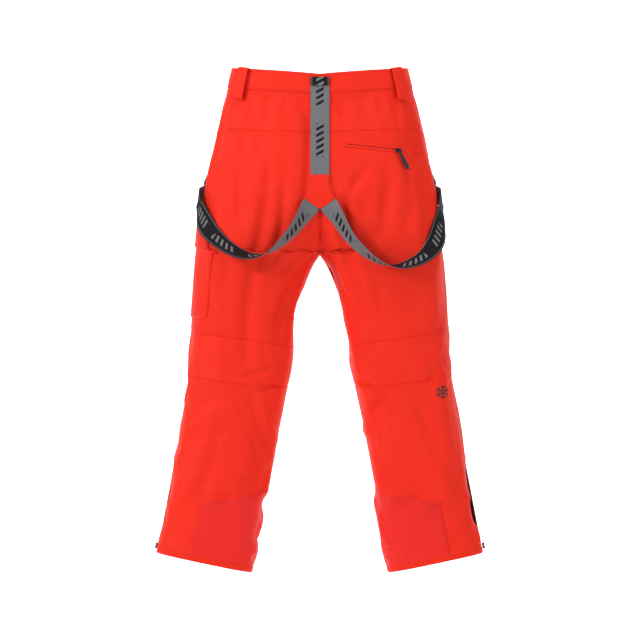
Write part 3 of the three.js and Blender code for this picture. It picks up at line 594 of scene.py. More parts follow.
def slab(name, outer, inner, material, uv=None, **extra):
    """A thin closed solid between two matching grids of points."""
    uv = own_uv(outer) if uv is None else uv
    columns, rows = outer.shape[:2]
    n = columns * rows
    faces = grid_faces(columns, rows)
    faces += [tuple(n + k for k in f[::-1]) for f in grid_faces(columns, rows)]
    index = lambda i, j: i * rows + j
    rim = ([index(i, 0) for i in range(columns)] + [index(columns - 1, j) for j in range(1, rows)]
           + [index(i, rows - 1) for i in range(columns - 2, -1, -1)]
           + [index(0, j) for j in range(rows - 2, 0, -1)])
    for a, b in zip(rim, rim[1:] + rim[:1]):
        faces.append((a, n + a, n + b, b))
    flat_uv = np.concatenate([uv.reshape(-1, 2)] * 2)
    points = np.concatenate([outer.reshape(-1, 3), inner.reshape(-1, 3)])
    return new_mesh(name, points, faces, flat_uv, material, **extra)


def lengths(points, axis):
    """Distance run along an axis of a grid of points, from its first."""
    d = np.linalg.norm(np.diff(points, axis=axis), axis=-1)
    zero = np.zeros_like(np.take(d, [0], axis))
    return np.concatenate([zero, np.cumsum(d, axis)], axis)


def own_uv(points):
    return np.stack([lengths(points, 0), lengths(points, 1)], -1)


def flat_size(points):
    """Width and length in metres of a grid of points, laid flat."""
    return float(lengths(points, 0)[-1].max()) / 1000, float(lengths(points, 1)[:, -1].max()) / 1000


def spaced(length, step, edge=(1.4, 3.2, 5.6, 9)):
    """Shares of a length, close together at both ends, where a seam turns in."""
    middle = np.linspace(edge[-1], length - edge[-1], max(2, int((length - 2 * edge[-1]) / step) + 1))
    marks = np.concatenate([[0], edge[:-1], middle, length - np.array(edge[:-1])[::-1], [length]])
    return marks / length


def seam_profile(distance):
    """The cloth turns in at its seams, and a rolled ridge runs beside them."""
    return -0.9 * np.exp(-((distance / 1.3) ** 2)) + 0.45 * np.exp(-(((distance - 5.5) / 3.2) ** 2))


PANEL_WALL, PANEL_STEP = 1.5, 5.0


def panel(name, side, turns, seams, material, node, gap=None):
    """A cloth panel between two turns and two seams, on the folded surface, with its edges turned in."""
    middle = sum(turns) / 2
    mid_drop = float(seams[0](np.array(middle)) + seams[1](np.array(middle))) / 2
    row = raw(side, np.linspace(*turns, 40), np.full(40, mid_drop))[0]
    width = float(lengths(row, 0)[-1])
    height = float(seams[1](np.array(middle)) - seams[0](np.array(middle)))
    u, v = spaced(width, PANEL_STEP), spaced(height, PANEL_STEP)
    turn = turns[0] + (turns[1] - turns[0]) * u
    turn = turn[:, None] + 0 * v[None, :]
    drop = seams[0](turn) + (seams[1](turn) - seams[0](turn)) * v[None, :]
    if gap is not None:
        shift = gap(drop) / np.maximum(lengths(raw(side, turn, drop)[0], 0)[-1][None, :], 1)
        share = u[:, None]
        if turns[1] == 1:
            turn = turn - shift * share**6
        else:
            turn = turn + shift * (1 - share) ** 6 - shift * share**6
    points, normals = skin(side, turn, drop)
    across, along = lengths(points, 0), lengths(points, 1)
    edge = np.minimum(np.minimum(across, across[-1:] - across), np.minimum(along, along[:, -1:] - along))
    points = points + normals * seam_profile(edge)[..., None]
    base = raw(side, turn, drop)[0]
    uv = np.stack([across + 1000 * (turns[0] > 0.5), along], -1)
    piece = slab(name, points, points - normals * PANEL_WALL, material, uv=uv, replaces=[node])
    size = flat_size(base)


def sweep(name, path, profile, material, **extra):
    """A closed profile carried along a path, which gives for each station a function from (p, q) to a point."""
    rings = np.array([[frame_at(p, q) for p, q in profile] for frame_at in path])
    faces = tube_faces(*rings.shape[:2])
    run = np.cumsum(np.r_[0, np.linalg.norm(np.diff(rings.mean(1), axis=0), axis=-1)])
    round_ = np.cumsum(np.r_[0, np.linalg.norm(np.diff(rings[0], axis=0), axis=-1)])
    uv = np.stack([run[:, None] + 0 * round_, round_[None, :] + 0 * run[:, None]], -1).reshape(-1, 2)
    return new_mesh(name, rings.reshape(-1, 3), faces, uv, material, **extra)


def straight_path(start, end, across, out, count):
    """Stations of a straight piece between two points."""
    return [lambda p, q, c=start + (end - start) * t: c + across * p + out * q
            for t in np.linspace(0, 1, count)]


def skin_path(side, turns, drops_of, count):
    """Stations round the garment: (p, q) is p below the line drops_of, q off the cloth. Turns below 0 are
    on the other side."""
    stations = []
    for turn in np.linspace(*turns, count):
        t, way = abs(turn), -side if turn < 0 else side
        base = float(drops_of(np.array(t)))

        def at(p, q, t=t, way=way, base=base):
            point = skin(way, np.array(t), np.array(base + p), q)[0]
            if min(t, 2 - t) < 1e-6:
                point[0] = 0
            return point
        stations.append(at)
    return stations


# ---- materials ----
def shader(name, colour, rough, metal=0.0, sheen=0.0, spec=0.5, tint=None):
    m = bpy.data.materials.new(name)
    m.use_nodes = True
    tree = m.node_tree
    b = tree.nodes["Principled BSDF"]
    b.inputs["Base Color"].default_value = (*colour, 1)
    b.inputs["Roughness"].default_value = rough
    b.inputs["Metallic"].default_value = metal
    b.inputs["Sheen Weight"].default_value = sheen
    b.inputs["Sheen Roughness"].default_value = 0.4
    b.inputs["Sheen Tint"].default_value = (*(tint or (1, 1, 1)), 1)
    b.inputs["Specular IOR Level"].default_value = spec
    return m, tree, b


def add(tree, kind, **values):
    """A shader node. A value that is another node's output is linked to the input of that name."""
    node = tree.nodes.new(kind)
    for key, value in values.items():
        if isinstance(value, bpy.types.NodeSocket):
            tree.links.new(value, node.inputs[key])
        elif key in node.inputs:
            node.inputs[key].default_value = value
        else:
            setattr(node, key, value)
    return node


def varied(tree, colours, scale, spread):
    """Colour that drifts softly between two tones, and the drift itself."""
    where = add(tree, "ShaderNodeTexCoord")
    noise = add(tree, "ShaderNodeTexNoise", Scale=scale, Detail=4.0, Roughness=0.55,
                Vector=where.outputs["Object"])
    ramp = add(tree, "ShaderNodeValToRGB", Fac=noise.outputs["Fac"])
    for stop, position, colour in zip(ramp.color_ramp.elements, (0.5 - spread, 0.5 + spread), colours):
        stop.position, stop.color = position, (*colour, 1)
    return ramp.outputs["Color"], noise.outputs["Fac"]


def wave(tree, vector, scale, direction="X", turn=0.0):
    """Even bands across a direction."""
    mapping = add(tree, "ShaderNodeMapping", Rotation=(0, 0, turn), Vector=vector)
    bands = add(tree, "ShaderNodeTexWave", Scale=scale, Distortion=0.0, Vector=mapping.outputs["Vector"],
                wave_type="BANDS", bands_direction=direction, wave_profile="SIN")
    return bands.outputs["Fac"]


def maths(tree, operation, a, b=None):
    node = add(tree, "ShaderNodeMath", operation=operation)
    for k, value in enumerate((a, b)):
        if isinstance(value, (int, float)):
            node.inputs[k].default_value = value
        elif value is not None:
            tree.links.new(value, node.inputs[k])
    return node.outputs[0]


def relief(tree, b, height, distance, strength, **before):
    node = add(tree, "ShaderNodeBump", Distance=distance, Strength=strength, Height=height, **before)
    tree.links.new(node.outputs["Normal"], b.inputs["Normal"])
    return node.outputs["Normal"]


def roughened(tree, b, drift, low, high):
    """Roughness that drifts with the colour."""
    reach = add(tree, "ShaderNodeMapRange", Value=drift, **{"To Min": low, "To Max": high})
    tree.links.new(reach.outputs[0], b.inputs["Roughness"])


def woven(name, dark, light, pitch, rough=0.72, sheen=0.25, tint=None, depth=0.00012, spec=0.3):
    """Woven cloth: two crossing sets of threads, thousands to the metre, over soft crinkles."""
    m, tree, b = shader(name, light, rough, sheen=sheen, spec=spec, tint=tint)
    colour, drift = varied(tree, (dark, light), 9.0, 0.28)
    where = add(tree, "ShaderNodeTexCoord")
    scale = 1 / pitch / 20 * PI
    warp = wave(tree, where.outputs["UV"], scale, "X")
    weft = wave(tree, where.outputs["UV"], scale, "Y")
    twill = wave(tree, where.outputs["UV"], scale * 0.5, "X", turn=PI / 4)
    threads = maths(tree, "ADD", maths(tree, "MULTIPLY", warp, weft), maths(tree, "MULTIPLY", twill, 0.5))
    grey = add(tree, "ShaderNodeCombineColor", Red=threads, Green=threads, Blue=threads)
    mix = add(tree, "ShaderNodeMix", data_type="RGBA", blend_type="MULTIPLY", Factor=0.16, A=colour,
              B=grey.outputs[0])
    tree.links.new(mix.outputs["Result"], b.inputs["Base Color"])
    roughened(tree, b, drift, rough - 0.07, rough + 0.08)
    creases = add(tree, "ShaderNodeTexNoise", Scale=26.0, Detail=5.0, Roughness=0.5, Distortion=0.6,
                  Vector=where.outputs["Object"])
    first = relief(tree, b, creases.outputs["Fac"], 0.0008, 0.7)
    relief(tree, b, threads, depth, 0.8, Normal=first)
    return m


RED, RED_DARK = (0.92, 0.024, 0.006), (0.85, 0.018, 0.004)
shell_cloth = woven("shell_cloth", RED_DARK, RED, 0.0006, rough=0.66, sheen=0.05, tint=(1, 0.4, 0.3),
                    spec=0.22)
guard_cloth = woven("guard_cloth", (0.82, 0.014, 0.009), (0.88, 0.018, 0.011), 0.0009, rough=0.6, sheen=0.06,
                    tint=(1, 0.5, 0.5), depth=0.0002, spec=0.25)
lining_cloth = woven("lining_cloth", (0.16, 0.012, 0.010), (0.22, 0.018, 0.014), 0.0012, rough=0.9, sheen=0.4,
                     tint=(1, 0.5, 0.5))
gaiter_cloth = woven("gaiter_cloth", (0.018, 0.018, 0.02), (0.03, 0.03, 0.032), 0.0008, rough=0.55, sheen=0.1)
zip_cloth = woven("zip_cloth", (0.05, 0.004, 0.004), (0.085, 0.007, 0.006), 0.0007, rough=0.8, sheen=0.1)
stitch_thread = woven("stitch_thread", (0.80, 0.016, 0.007), (0.88, 0.02, 0.009), 0.0004, rough=0.6,
                      sheen=0.2)

# The pattern on the webbing, in metres across from its middle and along it.
LINE_IN, LINE_OUT = 0.0160, 0.0176
BAR_PITCH, BAR_SHARE, BAR_SLANT, BAR_REACH = 0.013, 0.46, 0.55, 0.0078
GROUP_SHARE = 0.66


def webbing(name, ground, light, mark, edge_colour, group, shift):
    """Ribbed webbing with a coloured line inside each edge and groups of slanted bars along its middle."""
    m, tree, b = shader(name, light, 0.75, sheen=0.02, spec=0.15)
    colour, _ = varied(tree, (ground, light), 30.0, 0.3)
    where = add(tree, "ShaderNodeTexCoord")
    split = add(tree, "ShaderNodeSeparateXYZ", Vector=where.outputs["UV"])
    across, along = split.outputs[0], split.outputs[1]
    plus = lambda p, q: maths(tree, "ADD", p, q)
    times = lambda p, q: maths(tree, "MULTIPLY", p, q)
    under = lambda p, q: maths(tree, "LESS_THAN", p, q)
    off = maths(tree, "ABSOLUTE", across)
    edge_line = times(maths(tree, "GREATER_THAN", off, LINE_IN), under(off, LINE_OUT))
    phase = maths(tree, "FRACT", times(plus(along, times(across, BAR_SLANT)), 1 / BAR_PITCH))
    groups = maths(tree, "FRACT", times(plus(along, shift), 1 / group))
    bars = times(times(under(phase, BAR_SHARE), under(off, BAR_REACH)), under(groups, GROUP_SHARE))
    inked = add(tree, "ShaderNodeMix", data_type="RGBA", Factor=bars, A=colour, B=(*mark, 1))
    lined = add(tree, "ShaderNodeMix", data_type="RGBA", Factor=edge_line, A=inked.outputs["Result"],
                B=(*edge_colour, 1))
    tree.links.new(lined.outputs["Result"], b.inputs["Base Color"])
    ribs = wave(tree, where.outputs["UV"], PI / 20 / 0.0016, "Y")
    cords = wave(tree, where.outputs["UV"], PI / 20 / 0.0011, "X")
    relief(tree, b, plus(plus(ribs, times(cords, 0.6)), times(bars, -0.8)), 0.00025, 0.8)
    return m


INK = (0.006, 0.0055, 0.007)
grey_webbing = webbing("grey_webbing", (0.135, 0.14, 0.15), (0.165, 0.17, 0.18), INK, (0.15, 0.152, 0.155),
                       0.105, 0.02)
dark_webbing = webbing("dark_webbing", INK, (0.010, 0.009, 0.011), (0.16, 0.165, 0.17), (0.13, 0.135, 0.14),
                       0.09, 0.0)


def hard(name, colour, rough, metal=0.0):
    """Plastic or metal with a fine grain."""
    m, tree, b = shader(name, colour, rough, metal=metal)
    tone, drift = varied(tree, (tuple(c * 0.72 for c in colour), colour), 160.0, 0.3)
    tree.links.new(tone, b.inputs["Base Color"])
    where = add(tree, "ShaderNodeTexCoord")
    fine = add(tree, "ShaderNodeTexNoise", Scale=1400.0, Detail=3.0, Vector=where.outputs["Object"])
    roughened(tree, b, drift, rough - 0.08, rough + 0.12)
    relief(tree, b, fine.outputs["Fac"], 0.00005, 0.5)
    return m


zip_metal = hard("zip_metal", (0.03, 0.03, 0.033), 0.36, metal=0.7)
dark_plastic = hard("dark_plastic", (0.016, 0.016, 0.018), 0.45)
teeth_plastic = hard("teeth_plastic", (0.10, 0.008, 0.006), 0.4)
print_ink = hard("print_ink", (0.03, 0.012, 0.012), 0.6)
BY_SLOT = {"zip_metal": zip_metal, "dark_plastic": dark_plastic, "webbing": grey_webbing,
           "dark_webbing": dark_webbing, "lining_cloth": lining_cloth, "gaiter_cloth": gaiter_cloth,
           "guard_cloth": guard_cloth, "zip_cloth": zip_cloth}


# ---- the shell ----
def zip_gap(drop):
    return 4.5 * np.clip((drop - ZIP_TOP) / 8 + 1, 0, 1)


FLY_LOW = 231


def fly_gap(drop):
    return 4.2 * np.clip((FLY_LOW + 4 - drop) / 8, 0, 1)


for word, side in SIDES:
    for part, turns, seams, gap in (
        ("back_yoke", (0, 1), (band_low, yoke_seam), None),
        ("back_thigh", (0, 1), (yoke_seam, knee_top), None),
        ("back_knee", (0, 1), (knee_top, knee_low), None),
        ("back_shin", (0, 1), (knee_low, hem_top), zip_gap),
        ("front_thigh", (1, 2), (band_low, knee_top), fly_gap),
        ("front_knee", (1, 2), (knee_top, knee_low), None),
        ("front_shin", (1, 2), (knee_low, hem_top), zip_gap),
    ):
        if part.startswith("front"):
            seams = [lambda t, f=f: f(np.maximum(t, 1 + 1e-6)) for f in seams]
        panel(f"cloth_{part}_{word}", side, turns, seams, shell_cloth, f"{part}_{word}", gap=gap)

# ---- waistband, facing, linings, gaiters, hems, guards ----
# The padded band in section, as (below its top, off the cloth): crowned outside, rolled at its top.
BAND_PROFILE = [(BAND + 0.6, -0.5), (BAND - 1.5, 0.5), (BAND - 6, 0.9), (BAND * 0.72, 1.4),
                (BAND * 0.45, 1.7), (BAND * 0.22, 1.4), (3.2, 1.2), (1.0, 0.8), (0, -0.2), (0.4, -1.5),
                (2.4, -2.6), (BAND * 0.5, -2.6), (BAND - 0.6, -2.2)]


def band(name, path, node):
    piece = sweep(name, path, BAND_PROFILE, shell_cloth, replaces=[node])


band("waistband_cloth_back", skin_path(1, (-1, 1), waist_top, 150), "waistband_back")
for word, side in SIDES:
    path = skin_path(side, (1 + 1e-4, 2), waist_top, 72)
    band(f"waistband_cloth_front_{word}", path, f"waistband_front_{word}")
facing = sweep("waist_facing_cloth", skin_path(1, (-1.995, 1.995), waist_top, 150),
               [(2.6, -3.0), (BAND - 1, -3.0), (BAND, -4.4), (BAND - 1, -5.8), (BAND * 0.5, -6.2),
                (3.6, -5.8), (2.2, -4.4)], lining_cloth, replaces=["waistband_facing"])

LINING_END, GAITER_TOP, GAITER_LOW = 812, 762, 1000
QUILT = 34  # between the lining's quilting lines
RUFFLE = 0.86  # share of the gaiter's length above its elastic
ZIP_SHARE = 0.022  # turn left open each side of the leg zip
GUARD_REACH, GUARD_HEIGHT = 0.60, 165
HEM_PROFILE = [(-3.0, -0.6), (-2.6, 0.4), (0.2, 0.8), (4, 1.0), (8, 1.0), (10.8, 0.7), (12, -0.4),
               (11.4, -2.2), (8, -2.8), (-1.0, -2.8), (-3.0, -2.0)]


def guard_top(share):
    """The guard's top edge, from the inseam (0) falling towards its sides (1)."""
    return 872 + 31 * share**1.15


for word, side in SIDES:
    turns = np.concatenate([np.linspace(0, 1, 36), np.linspace(1.001, 2, 36)])[:, None]
    v = np.linspace(0, 1, 110)[None, :]
    top = band_low(turns) + 1.5
    drop = top + (LINING_END - top) * v
    points, normals = skin(side, turns, drop, -5.4)
    quilt = 0.7 * np.abs(np.sin(drop / QUILT * PI)) * np.clip((drop - 110) / 60, 0, 1)
    points = points + normals * quilt[..., None]
    piece = slab(f"lining_cloth_{word}", points, points - normals * 0.9, lining_cloth,
                 replaces=[f"lining_{word}"])
    size = flat_size(points)

    u = np.linspace(0, 2, 97)[:-1][:, None]
    v = np.linspace(0, 1, 46)[None, :]
    drop = GAITER_TOP + (GAITER_LOW - GAITER_TOP) * v + 0 * u
    drop = np.where(v > 0.999, GAITER_LOW - 0.02 * np.abs(u - 1), drop)
    ruffle = 2.0 * np.sin(u * PI * 22) * np.exp(-((v - RUFFLE) / 0.05) ** 2)
    lift = -(7.4 + 8.2 * v**2 + ruffle + 1.6 * np.exp(-((v - RUFFLE) / 0.03) ** 2))
    outer, normals = skin(side, u, drop, lift)
    columns, rows = outer.shape[:2]
    n = columns * rows
    faces = grid_faces(columns, rows, closed=True)
    faces += [tuple(n + k for k in f[::-1]) for f in faces]
    for j in (0, rows - 1):
        for i in range(columns):
            a, b = i * rows + j, ((i + 1) % columns) * rows + j
            faces.append((a, b, n + b, n + a))
    points = np.concatenate([outer.reshape(-1, 3), (outer - normals * 0.8).reshape(-1, 3)])
    uv = np.concatenate([own_uv(outer).reshape(-1, 2)] * 2)
    piece = new_mesh(f"gaiter_cloth_{word}", points, faces, uv, gaiter_cloth,
                     replaces=[f"snow_gaiter_{word}"])
    size = flat_size(outer)

    # the folded hem, from one edge of the zip round to the other
    stations = []
    for turn in np.concatenate([np.linspace(1 - ZIP_SHARE, 0, 70), np.linspace(2, 1 + ZIP_SHARE, 70)[1:]]):
        base = float(hem_top(np.array(turn)))
        stations.append(lambda p, q, turn=np.array(turn), base=base: skin(side, turn, np.array(base + p), q)[0])
    hem = sweep(f"hem_cloth_{word}", stations, HEM_PROFILE, shell_cloth, replaces=[f"hem_band_{word}"])

    # the tough patch inside the foot of the leg: five sides, its top edge falling outwards
    u = np.linspace(-1, 1, 61)[:, None]
    v = spaced(GUARD_HEIGHT, 5)[None, :]
    turn = np.where(u > 0, 2 - np.abs(u) * GUARD_REACH, np.abs(u) * GUARD_REACH)
    top, low = guard_top(np.abs(u)), hem_top(turn) - 0.6
    edge = np.minimum((1 - np.abs(u)) * 150, np.minimum(v, 1 - v) * GUARD_HEIGHT)
    lift = 1.0 + 0.35 * np.exp(-((edge - 4) / 2.4) ** 2) - 1.2 * np.exp(-((edge / 1.2) ** 2))
    outer, normals = skin(side, turn, top + (low - top) * v, lift)
    piece = slab(f"guard_cloth_{word}", outer, outer - normals * 0.9, guard_cloth,
                 replaces=[f"scuff_guard_{word}"])
    size = flat_size(outer)


# ---- sliders, adjusters, buckles: the CAD shapes with their edges rounded ----
def refined(node, material, bevel):
    """The CAD node's own shape with its edges rounded."""
    mesh = nodes[node].data.copy()
    mesh.name = f"{node}_rounded"
    mesh.materials.clear()
    mesh.materials.append(material)
    work = bmesh.new()
    work.from_mesh(mesh)
    bmesh.ops.remove_doubles(work, verts=work.verts, dist=1e-6)
    bmesh.ops.dissolve_limit(work, angle_limit=0.03, verts=work.verts, edges=work.edges)
    sharp = [e for e in work.edges if e.is_manifold and e.calc_face_angle(0) > 0.5]
    bmesh.ops.bevel(work, geom=sharp, offset=bevel / 1000, segments=3, profile=0.6, affect="EDGES",
                    clamp_overlap=True)
    for f in work.faces:
        f.smooth = True
    work.to_mesh(mesh)
    work.free()
    piece = link(bpy.data.objects.new(f"{node}_rounded", mesh))
    weighted = piece.modifiers.new("weighted", "WEIGHTED_NORMAL")
    weighted.keep_sharp = False
    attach(piece, nodes[node]["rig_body"])
    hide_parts(node)


for node in nodes:
    if slots[node] == "zip_metal":
        refined(node, zip_metal, 0.5)
    elif slots[node] == "dark_plastic":
        refined(node, dark_plastic, 0.55 if "pull" in node else 0.4)


# A belt loop in section, as (up, out from the cloth), and the cloth's swell across its width.
LOOP_LINE = smooth_line([(32.6, 1.6), (32.9, 5.5), (31.6, 8.6), (26, 9.3), (10, 9.5), (-10, 9.5), (-26, 9.2),
                         (-31.4, 8.2), (-32.6, 4.4), (-32.8, 0.8)], 5)
LOOP_WIDTHS = np.array([-1, -0.9, -0.45, 0, 0.45, 0.9, 1]) * 12.6
LOOP_SWELL = [0.0, 0.5, 0.9, 0.55, 0.9, 0.5, 0.0]


def belt_loop(node, side, turn):
    """A loop of doubled cloth: out at its top, down in front of the band, and back to the cloth below it."""
    middle = float(waist_top(np.array(turn))) + 32
    here, normal = skin(side, np.array(turn), np.array(middle), 0)
    up = skin(side, np.array(turn), np.array(middle - 20), 0)[0] - here
    up = unit(up - normal * (up @ normal))
    across = np.cross(normal, up)
    outer, inner = [], []
    for (a, b), (ta, tb) in zip(LOOP_LINE, np.gradient(LOOP_LINE, axis=0)):
        n = unit(np.array([-tb, ta]))
        if n @ np.array([a * 0.02, 1.0]) < 0:
            n = -n
        place = lambda w, off: here + across * w + up * (a + n[0] * off) + normal * (b + n[1] * off)
        outer.append([place(w, swell + 0.5) for w, swell in zip(LOOP_WIDTHS, LOOP_SWELL)])
        inner.append([place(w, -0.9) for w in LOOP_WIDTHS])
    outer, inner = np.array(outer), np.array(inner)
    uv = np.stack([lengths(outer, 1), lengths(outer, 0)], -1)
    piece = slab(f"{node}_cloth", outer, inner, shell_cloth, uv=uv, replaces=[node])


for word, side in SIDES:
    for where, x, drop in (("back", 160.3, 36), ("front", 64.1, 55)):
        belt_loop(f"belt_loop_{where}_{word}", side, float(turn_at(x, drop, where == "front")))


# ---- braces ----
def grown(drop, front, off):
    """Centre, half width and depth of a leg's section, grown by off."""
    o, i = float(outer_x(drop)), float(inner_x(drop))
    return (o + i) / 2, (o - i) / 2 + off, float(spline(FRONT if front else BACK, drop)) + off


def ways_along(fine):
    """The way a line runs at each of its points."""
    last = len(fine) - 1
    return [unit(fine[min(k + 1, last)] - fine[max(k - 1, 0)]) for k in range(last + 1)]


def strap_line(route, side, parts=9):
    """Stations of a strap: centre, the way across its width, the way it faces, and the way it runs. The
    route gives (x, drop, height off the body, roll in degrees, 1 on the front)."""
    centres, rolls = [], []
    for x, drop, lift, roll, *rest in route:
        front = bool(rest)
        c, a, b = grown(drop, front, lift)
        u = min(abs((abs(x) - c) / a), 1)
        centres.append((side * x, (1 if front else -1) * b * (1 - u**3) ** (1 / 3), -drop))
        rolls.append((roll, 0))
    fine = smooth_line(centres, parts)
    rolls = smooth_line(rolls, parts)[:, 0]
    frames = []
    for (x, y, z), roll, along in zip(fine, rolls, ways_along(fine)):
        c, a, b = grown(-z, y > 0, 18)
        ux, uy = (abs(x) - c) / a, y / b
        facing = unit(np.array([side * ux * abs(ux) / a, uy * abs(uy) / b, 0]))
        flat = unit(np.cross(facing, along)) * side
        turn = Matrix.Rotation(math.radians(side * roll), 3, Vector(along))
        across = np.array(turn @ Vector(flat))
        frames.append((np.array([x, y, z]), across, np.cross(along, across), along))
    # flat and straight where the adjuster runs, between the last stations but one and two
    low, high = (len(route) - 3) * parts, (len(route) - 2) * parts
    straight = unit(fine[high] - fine[low])
    across = unit(frames[low][1] - straight * (frames[low][1] @ straight))
    for k in range(low, high + 1):
        centre = fine[low] + (fine[high] - fine[low]) * (k - low) / (high - low)
        frames[k] = (centre, across, np.cross(straight, across), straight)
    return frames


STRAP_FRONT = [(238, 256, 12, 178, 1), (214, 206, 13, 180, 1), (196, 158, 14, 180, 1), (128, 74, 13, 180, 1),
               (108, 45, 3.6, 180, 1)]
STRAPS = {
    "left": [(16.9, 286.6, 4.5, 6), (35.5, 314, 13, 38), (54, 340, 19, 52), (76, 363, 22, 62),
             (98, 382, 24, 78), (118, 391, 25, 95), (142, 394, 24, 110), (168, 387, 22, 124),
             (195, 372, 18, 132), (220, 350, 13, 138), (238, 324, 8, 150), (250, 292, 8, 174),
             (252, 272, 9, 178), *STRAP_FRONT],
    "right": [(16.9, 286.6, 4.5, 6), (36.5, 315.5, 13, 36), (60, 354, 19, 50), (90, 385, 22, 62),
              (118, 404, 23, 76), (144, 413, 24, 92), (168, 414, 22, 108), (196, 405, 18, 122),
              (221, 388, 13, 131), (240, 360, 8, 142), (248, 324, 6, 160), (251, 294, 8, 176),
              (252, 272, 9, 178), *STRAP_FRONT],
}


def strap(name, frames, wall, face, node, start=0.0):
    """A flat strap with rounded edges: one cloth on its face, another on its back."""
    half = STRAP_WIDTH / 2
    face_half = [(-half, 0.0), (-half + 0.5, 0.42), (-half + 1.6, 0.5), (-half * 0.5, 0.5), (0, 0.5),
                 (half * 0.5, 0.5), (half - 1.6, 0.5), (half - 0.5, 0.42)]
    ring = face_half + [(-p, -q) for p, q in face_half]
    run, vertices, uv = start, [], []
    for k, (centre, across, facing, _) in enumerate(frames):
        if k:
            run += np.linalg.norm(centre - frames[k - 1][0])
        for p, q in ring:
            vertices.append(centre + across * p + facing * q * wall)
            uv.append((p, run))
    index = ([0] * len(face_half) + [1] * len(face_half)) * (len(frames) - 1) + [0, 0]
    piece = new_mesh(name, vertices, tube_faces(len(frames), len(ring)), uv, [face, dark_webbing],
                     replaces=[node], indices=index)


def back_frames(drops, lift):
    """Stations of a strap down the middle of the back."""
    fine = smooth_line([(0, -(float(spline(BACK, d)) + lift), -d) for d in drops], 6)
    across = np.array([1.0, 0, 0])
    return [(p, across, np.cross(along, across), along) for p, along in zip(fine, ways_along(fine))]


CENTRE_LIFT = 2.9
strap("brace_end_webbing", back_frames((24, 30, 36, 42), CENTRE_LIFT + 1.2), 3.0, dark_webbing,
      "brace_back_end")
strap("brace_back_webbing", back_frames((36, 60, 90, 130, 180, 205, 232), CENTRE_LIFT), 1.7, grey_webbing,
      "brace_back_strap")


def flat_pad(name, outline, place, wall, node, body="garment"):
    """A cloth patch with a rounded edge inside an outline. place maps (x, drop, height) to a point."""
    pts = np.array(outline, float)
    centre = pts.mean(0)
    size = np.abs(pts - centre).max()
    # how far inwards, and the height as a share of the wall
    steps = ((0, -0.2), (0, 0.0), (0.8, 0.7), (2.2, 1.0), (5.0, 0.9), (9.0, 1.0))
    vertices = [place(*(centre + (p - centre) * (1 - inwards / size)), wall * height)
                for inwards, height in steps for p in pts]
    vertices += [place(*centre, wall * steps[-1][1]), place(*centre, -wall * 0.2)]
    n = len(pts)
    faces = []
    for k in range(len(steps) - 1):
        for j in range(n):
            faces.append((k * n + j, k * n + (j + 1) % n, (k + 1) * n + (j + 1) % n, (k + 1) * n + j))
    last = (len(steps) - 1) * n
    for j in range(n):
        faces.append((last + j, last + (j + 1) % n, len(vertices) - 2))
        faces.append(((j + 1) % n, j, len(vertices) - 1))
    uv = [(v[0], v[2]) for v in vertices]
    piece = new_mesh(name, vertices, faces, uv, shell_cloth, replaces=[node], body=body)


def dense(points, parts):
    return [tuple(np.array(a) + (np.array(b) - np.array(a)) * k / parts)
            for a, b in zip(points, points[1:] + points[:1]) for k in range(parts)]


# The cloth yoke that joins the three straps, (x, drop), its waist drawn in and its arms spread.
YOKE = [(18.6, 226), (18.4, 240), (20.5, 252), (26, 264), (31, 276), (24, 283.5), (12, 291), (0, 297)]
YOKE += [(-x, d) for x, d in YOKE[-2::-1]]
yoke_y = float(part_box("brace_yoke")[0].y) * 1000
flat_pad("brace_yoke_cloth", dense(YOKE, 3), lambda x, d, h: np.array([x, yoke_y + 1.2 - h, -d]), 2.3,
         "brace_yoke")
for word, side in SIDES:
    frames = strap_line(STRAPS[word], side)
    if frames[2][2] @ np.array([0, -1, 0]) < 0:
        frames = [(c, a, -f, l) for c, a, f, l in frames]
    strap(f"brace_strap_webbing_{word}", frames, 1.7, grey_webbing, f"brace_strap_{word}", start=60.0)


# ---- zips and pockets ----
def line_path(start, end, front=False):
    """Stations along a line of (x, drop): (p, q) is p below the line and q off the cloth."""
    start, end = np.array(start, float), np.array(end, float)
    way = unit(end - start)
    down = np.array([-way[1], way[0]]) if way[0] > 0 else np.array([way[1], -way[0]])
    if abs(way[1]) > abs(way[0]):
        down = np.array([abs(way[1]), -way[0] * np.sign(way[1])]) * np.sign(start[0] + end[0])
    return [lambda p, q, x=x, d=d: on_cloth(x + down[0] * p, d + down[1] * p, q, front)
            for x, d in (start + (end - start) * t for t in np.linspace(0, 1, 30))]


TOOTH = ((-0.2, -0.55, 0), (1.0, -0.55, 0), (1.0, 0.55, 0), (-0.2, 0.55, 0),
         (-0.1, -0.35, 0.8), (0.9, -0.35, 0.8), (0.9, 0.35, 0.8), (-0.1, 0.35, 0.8))
TOOTH_FACES = ((0, 1, 2, 3), (4, 7, 6, 5), (0, 4, 5, 1), (1, 5, 6, 2), (2, 6, 7, 3), (3, 7, 4, 0))


def coil(name, start, end, lift, place, width=3.0, pitch=1.5):
    """Both rows of a zip's moulded coil: one small rounded tooth after another on alternate sides. place
    gives a point's position and the ways along, across and out."""
    start, end = np.array(start, float), np.array(end, float)
    count = int(float(np.linalg.norm(end - start)) / pitch)
    verts, faces = [], []
    for k in range(count):
        s = 1 if k % 2 else -1
        p, along, across, out = place(start + (end - start) * (k + 0.5) / count)
        faces += [tuple(len(verts) + i for i in f) for f in TOOTH_FACES]
        verts += [p + across * (s * dx * width / 2) + along * dy + out * (dz + lift) for dx, dy, dz in TOOTH]
    new_mesh(name, verts, faces, [(v[0], v[2]) for v in verts], teeth_plastic, smooth=False)


def cloth_place(start, end, front):
    """For a zip that lies on the folded cloth along a line of (x, drop)."""
    along = unit(on_cloth(*end, 0.0, front) - on_cloth(*start, 0.0, front))
    out = np.array([0.0, 1.0 if front else -1.0, 0.0])
    out = unit(out - along * (out @ along))
    return lambda centre: (on_cloth(*centre, 0.0, front), along, np.cross(along, out), out)


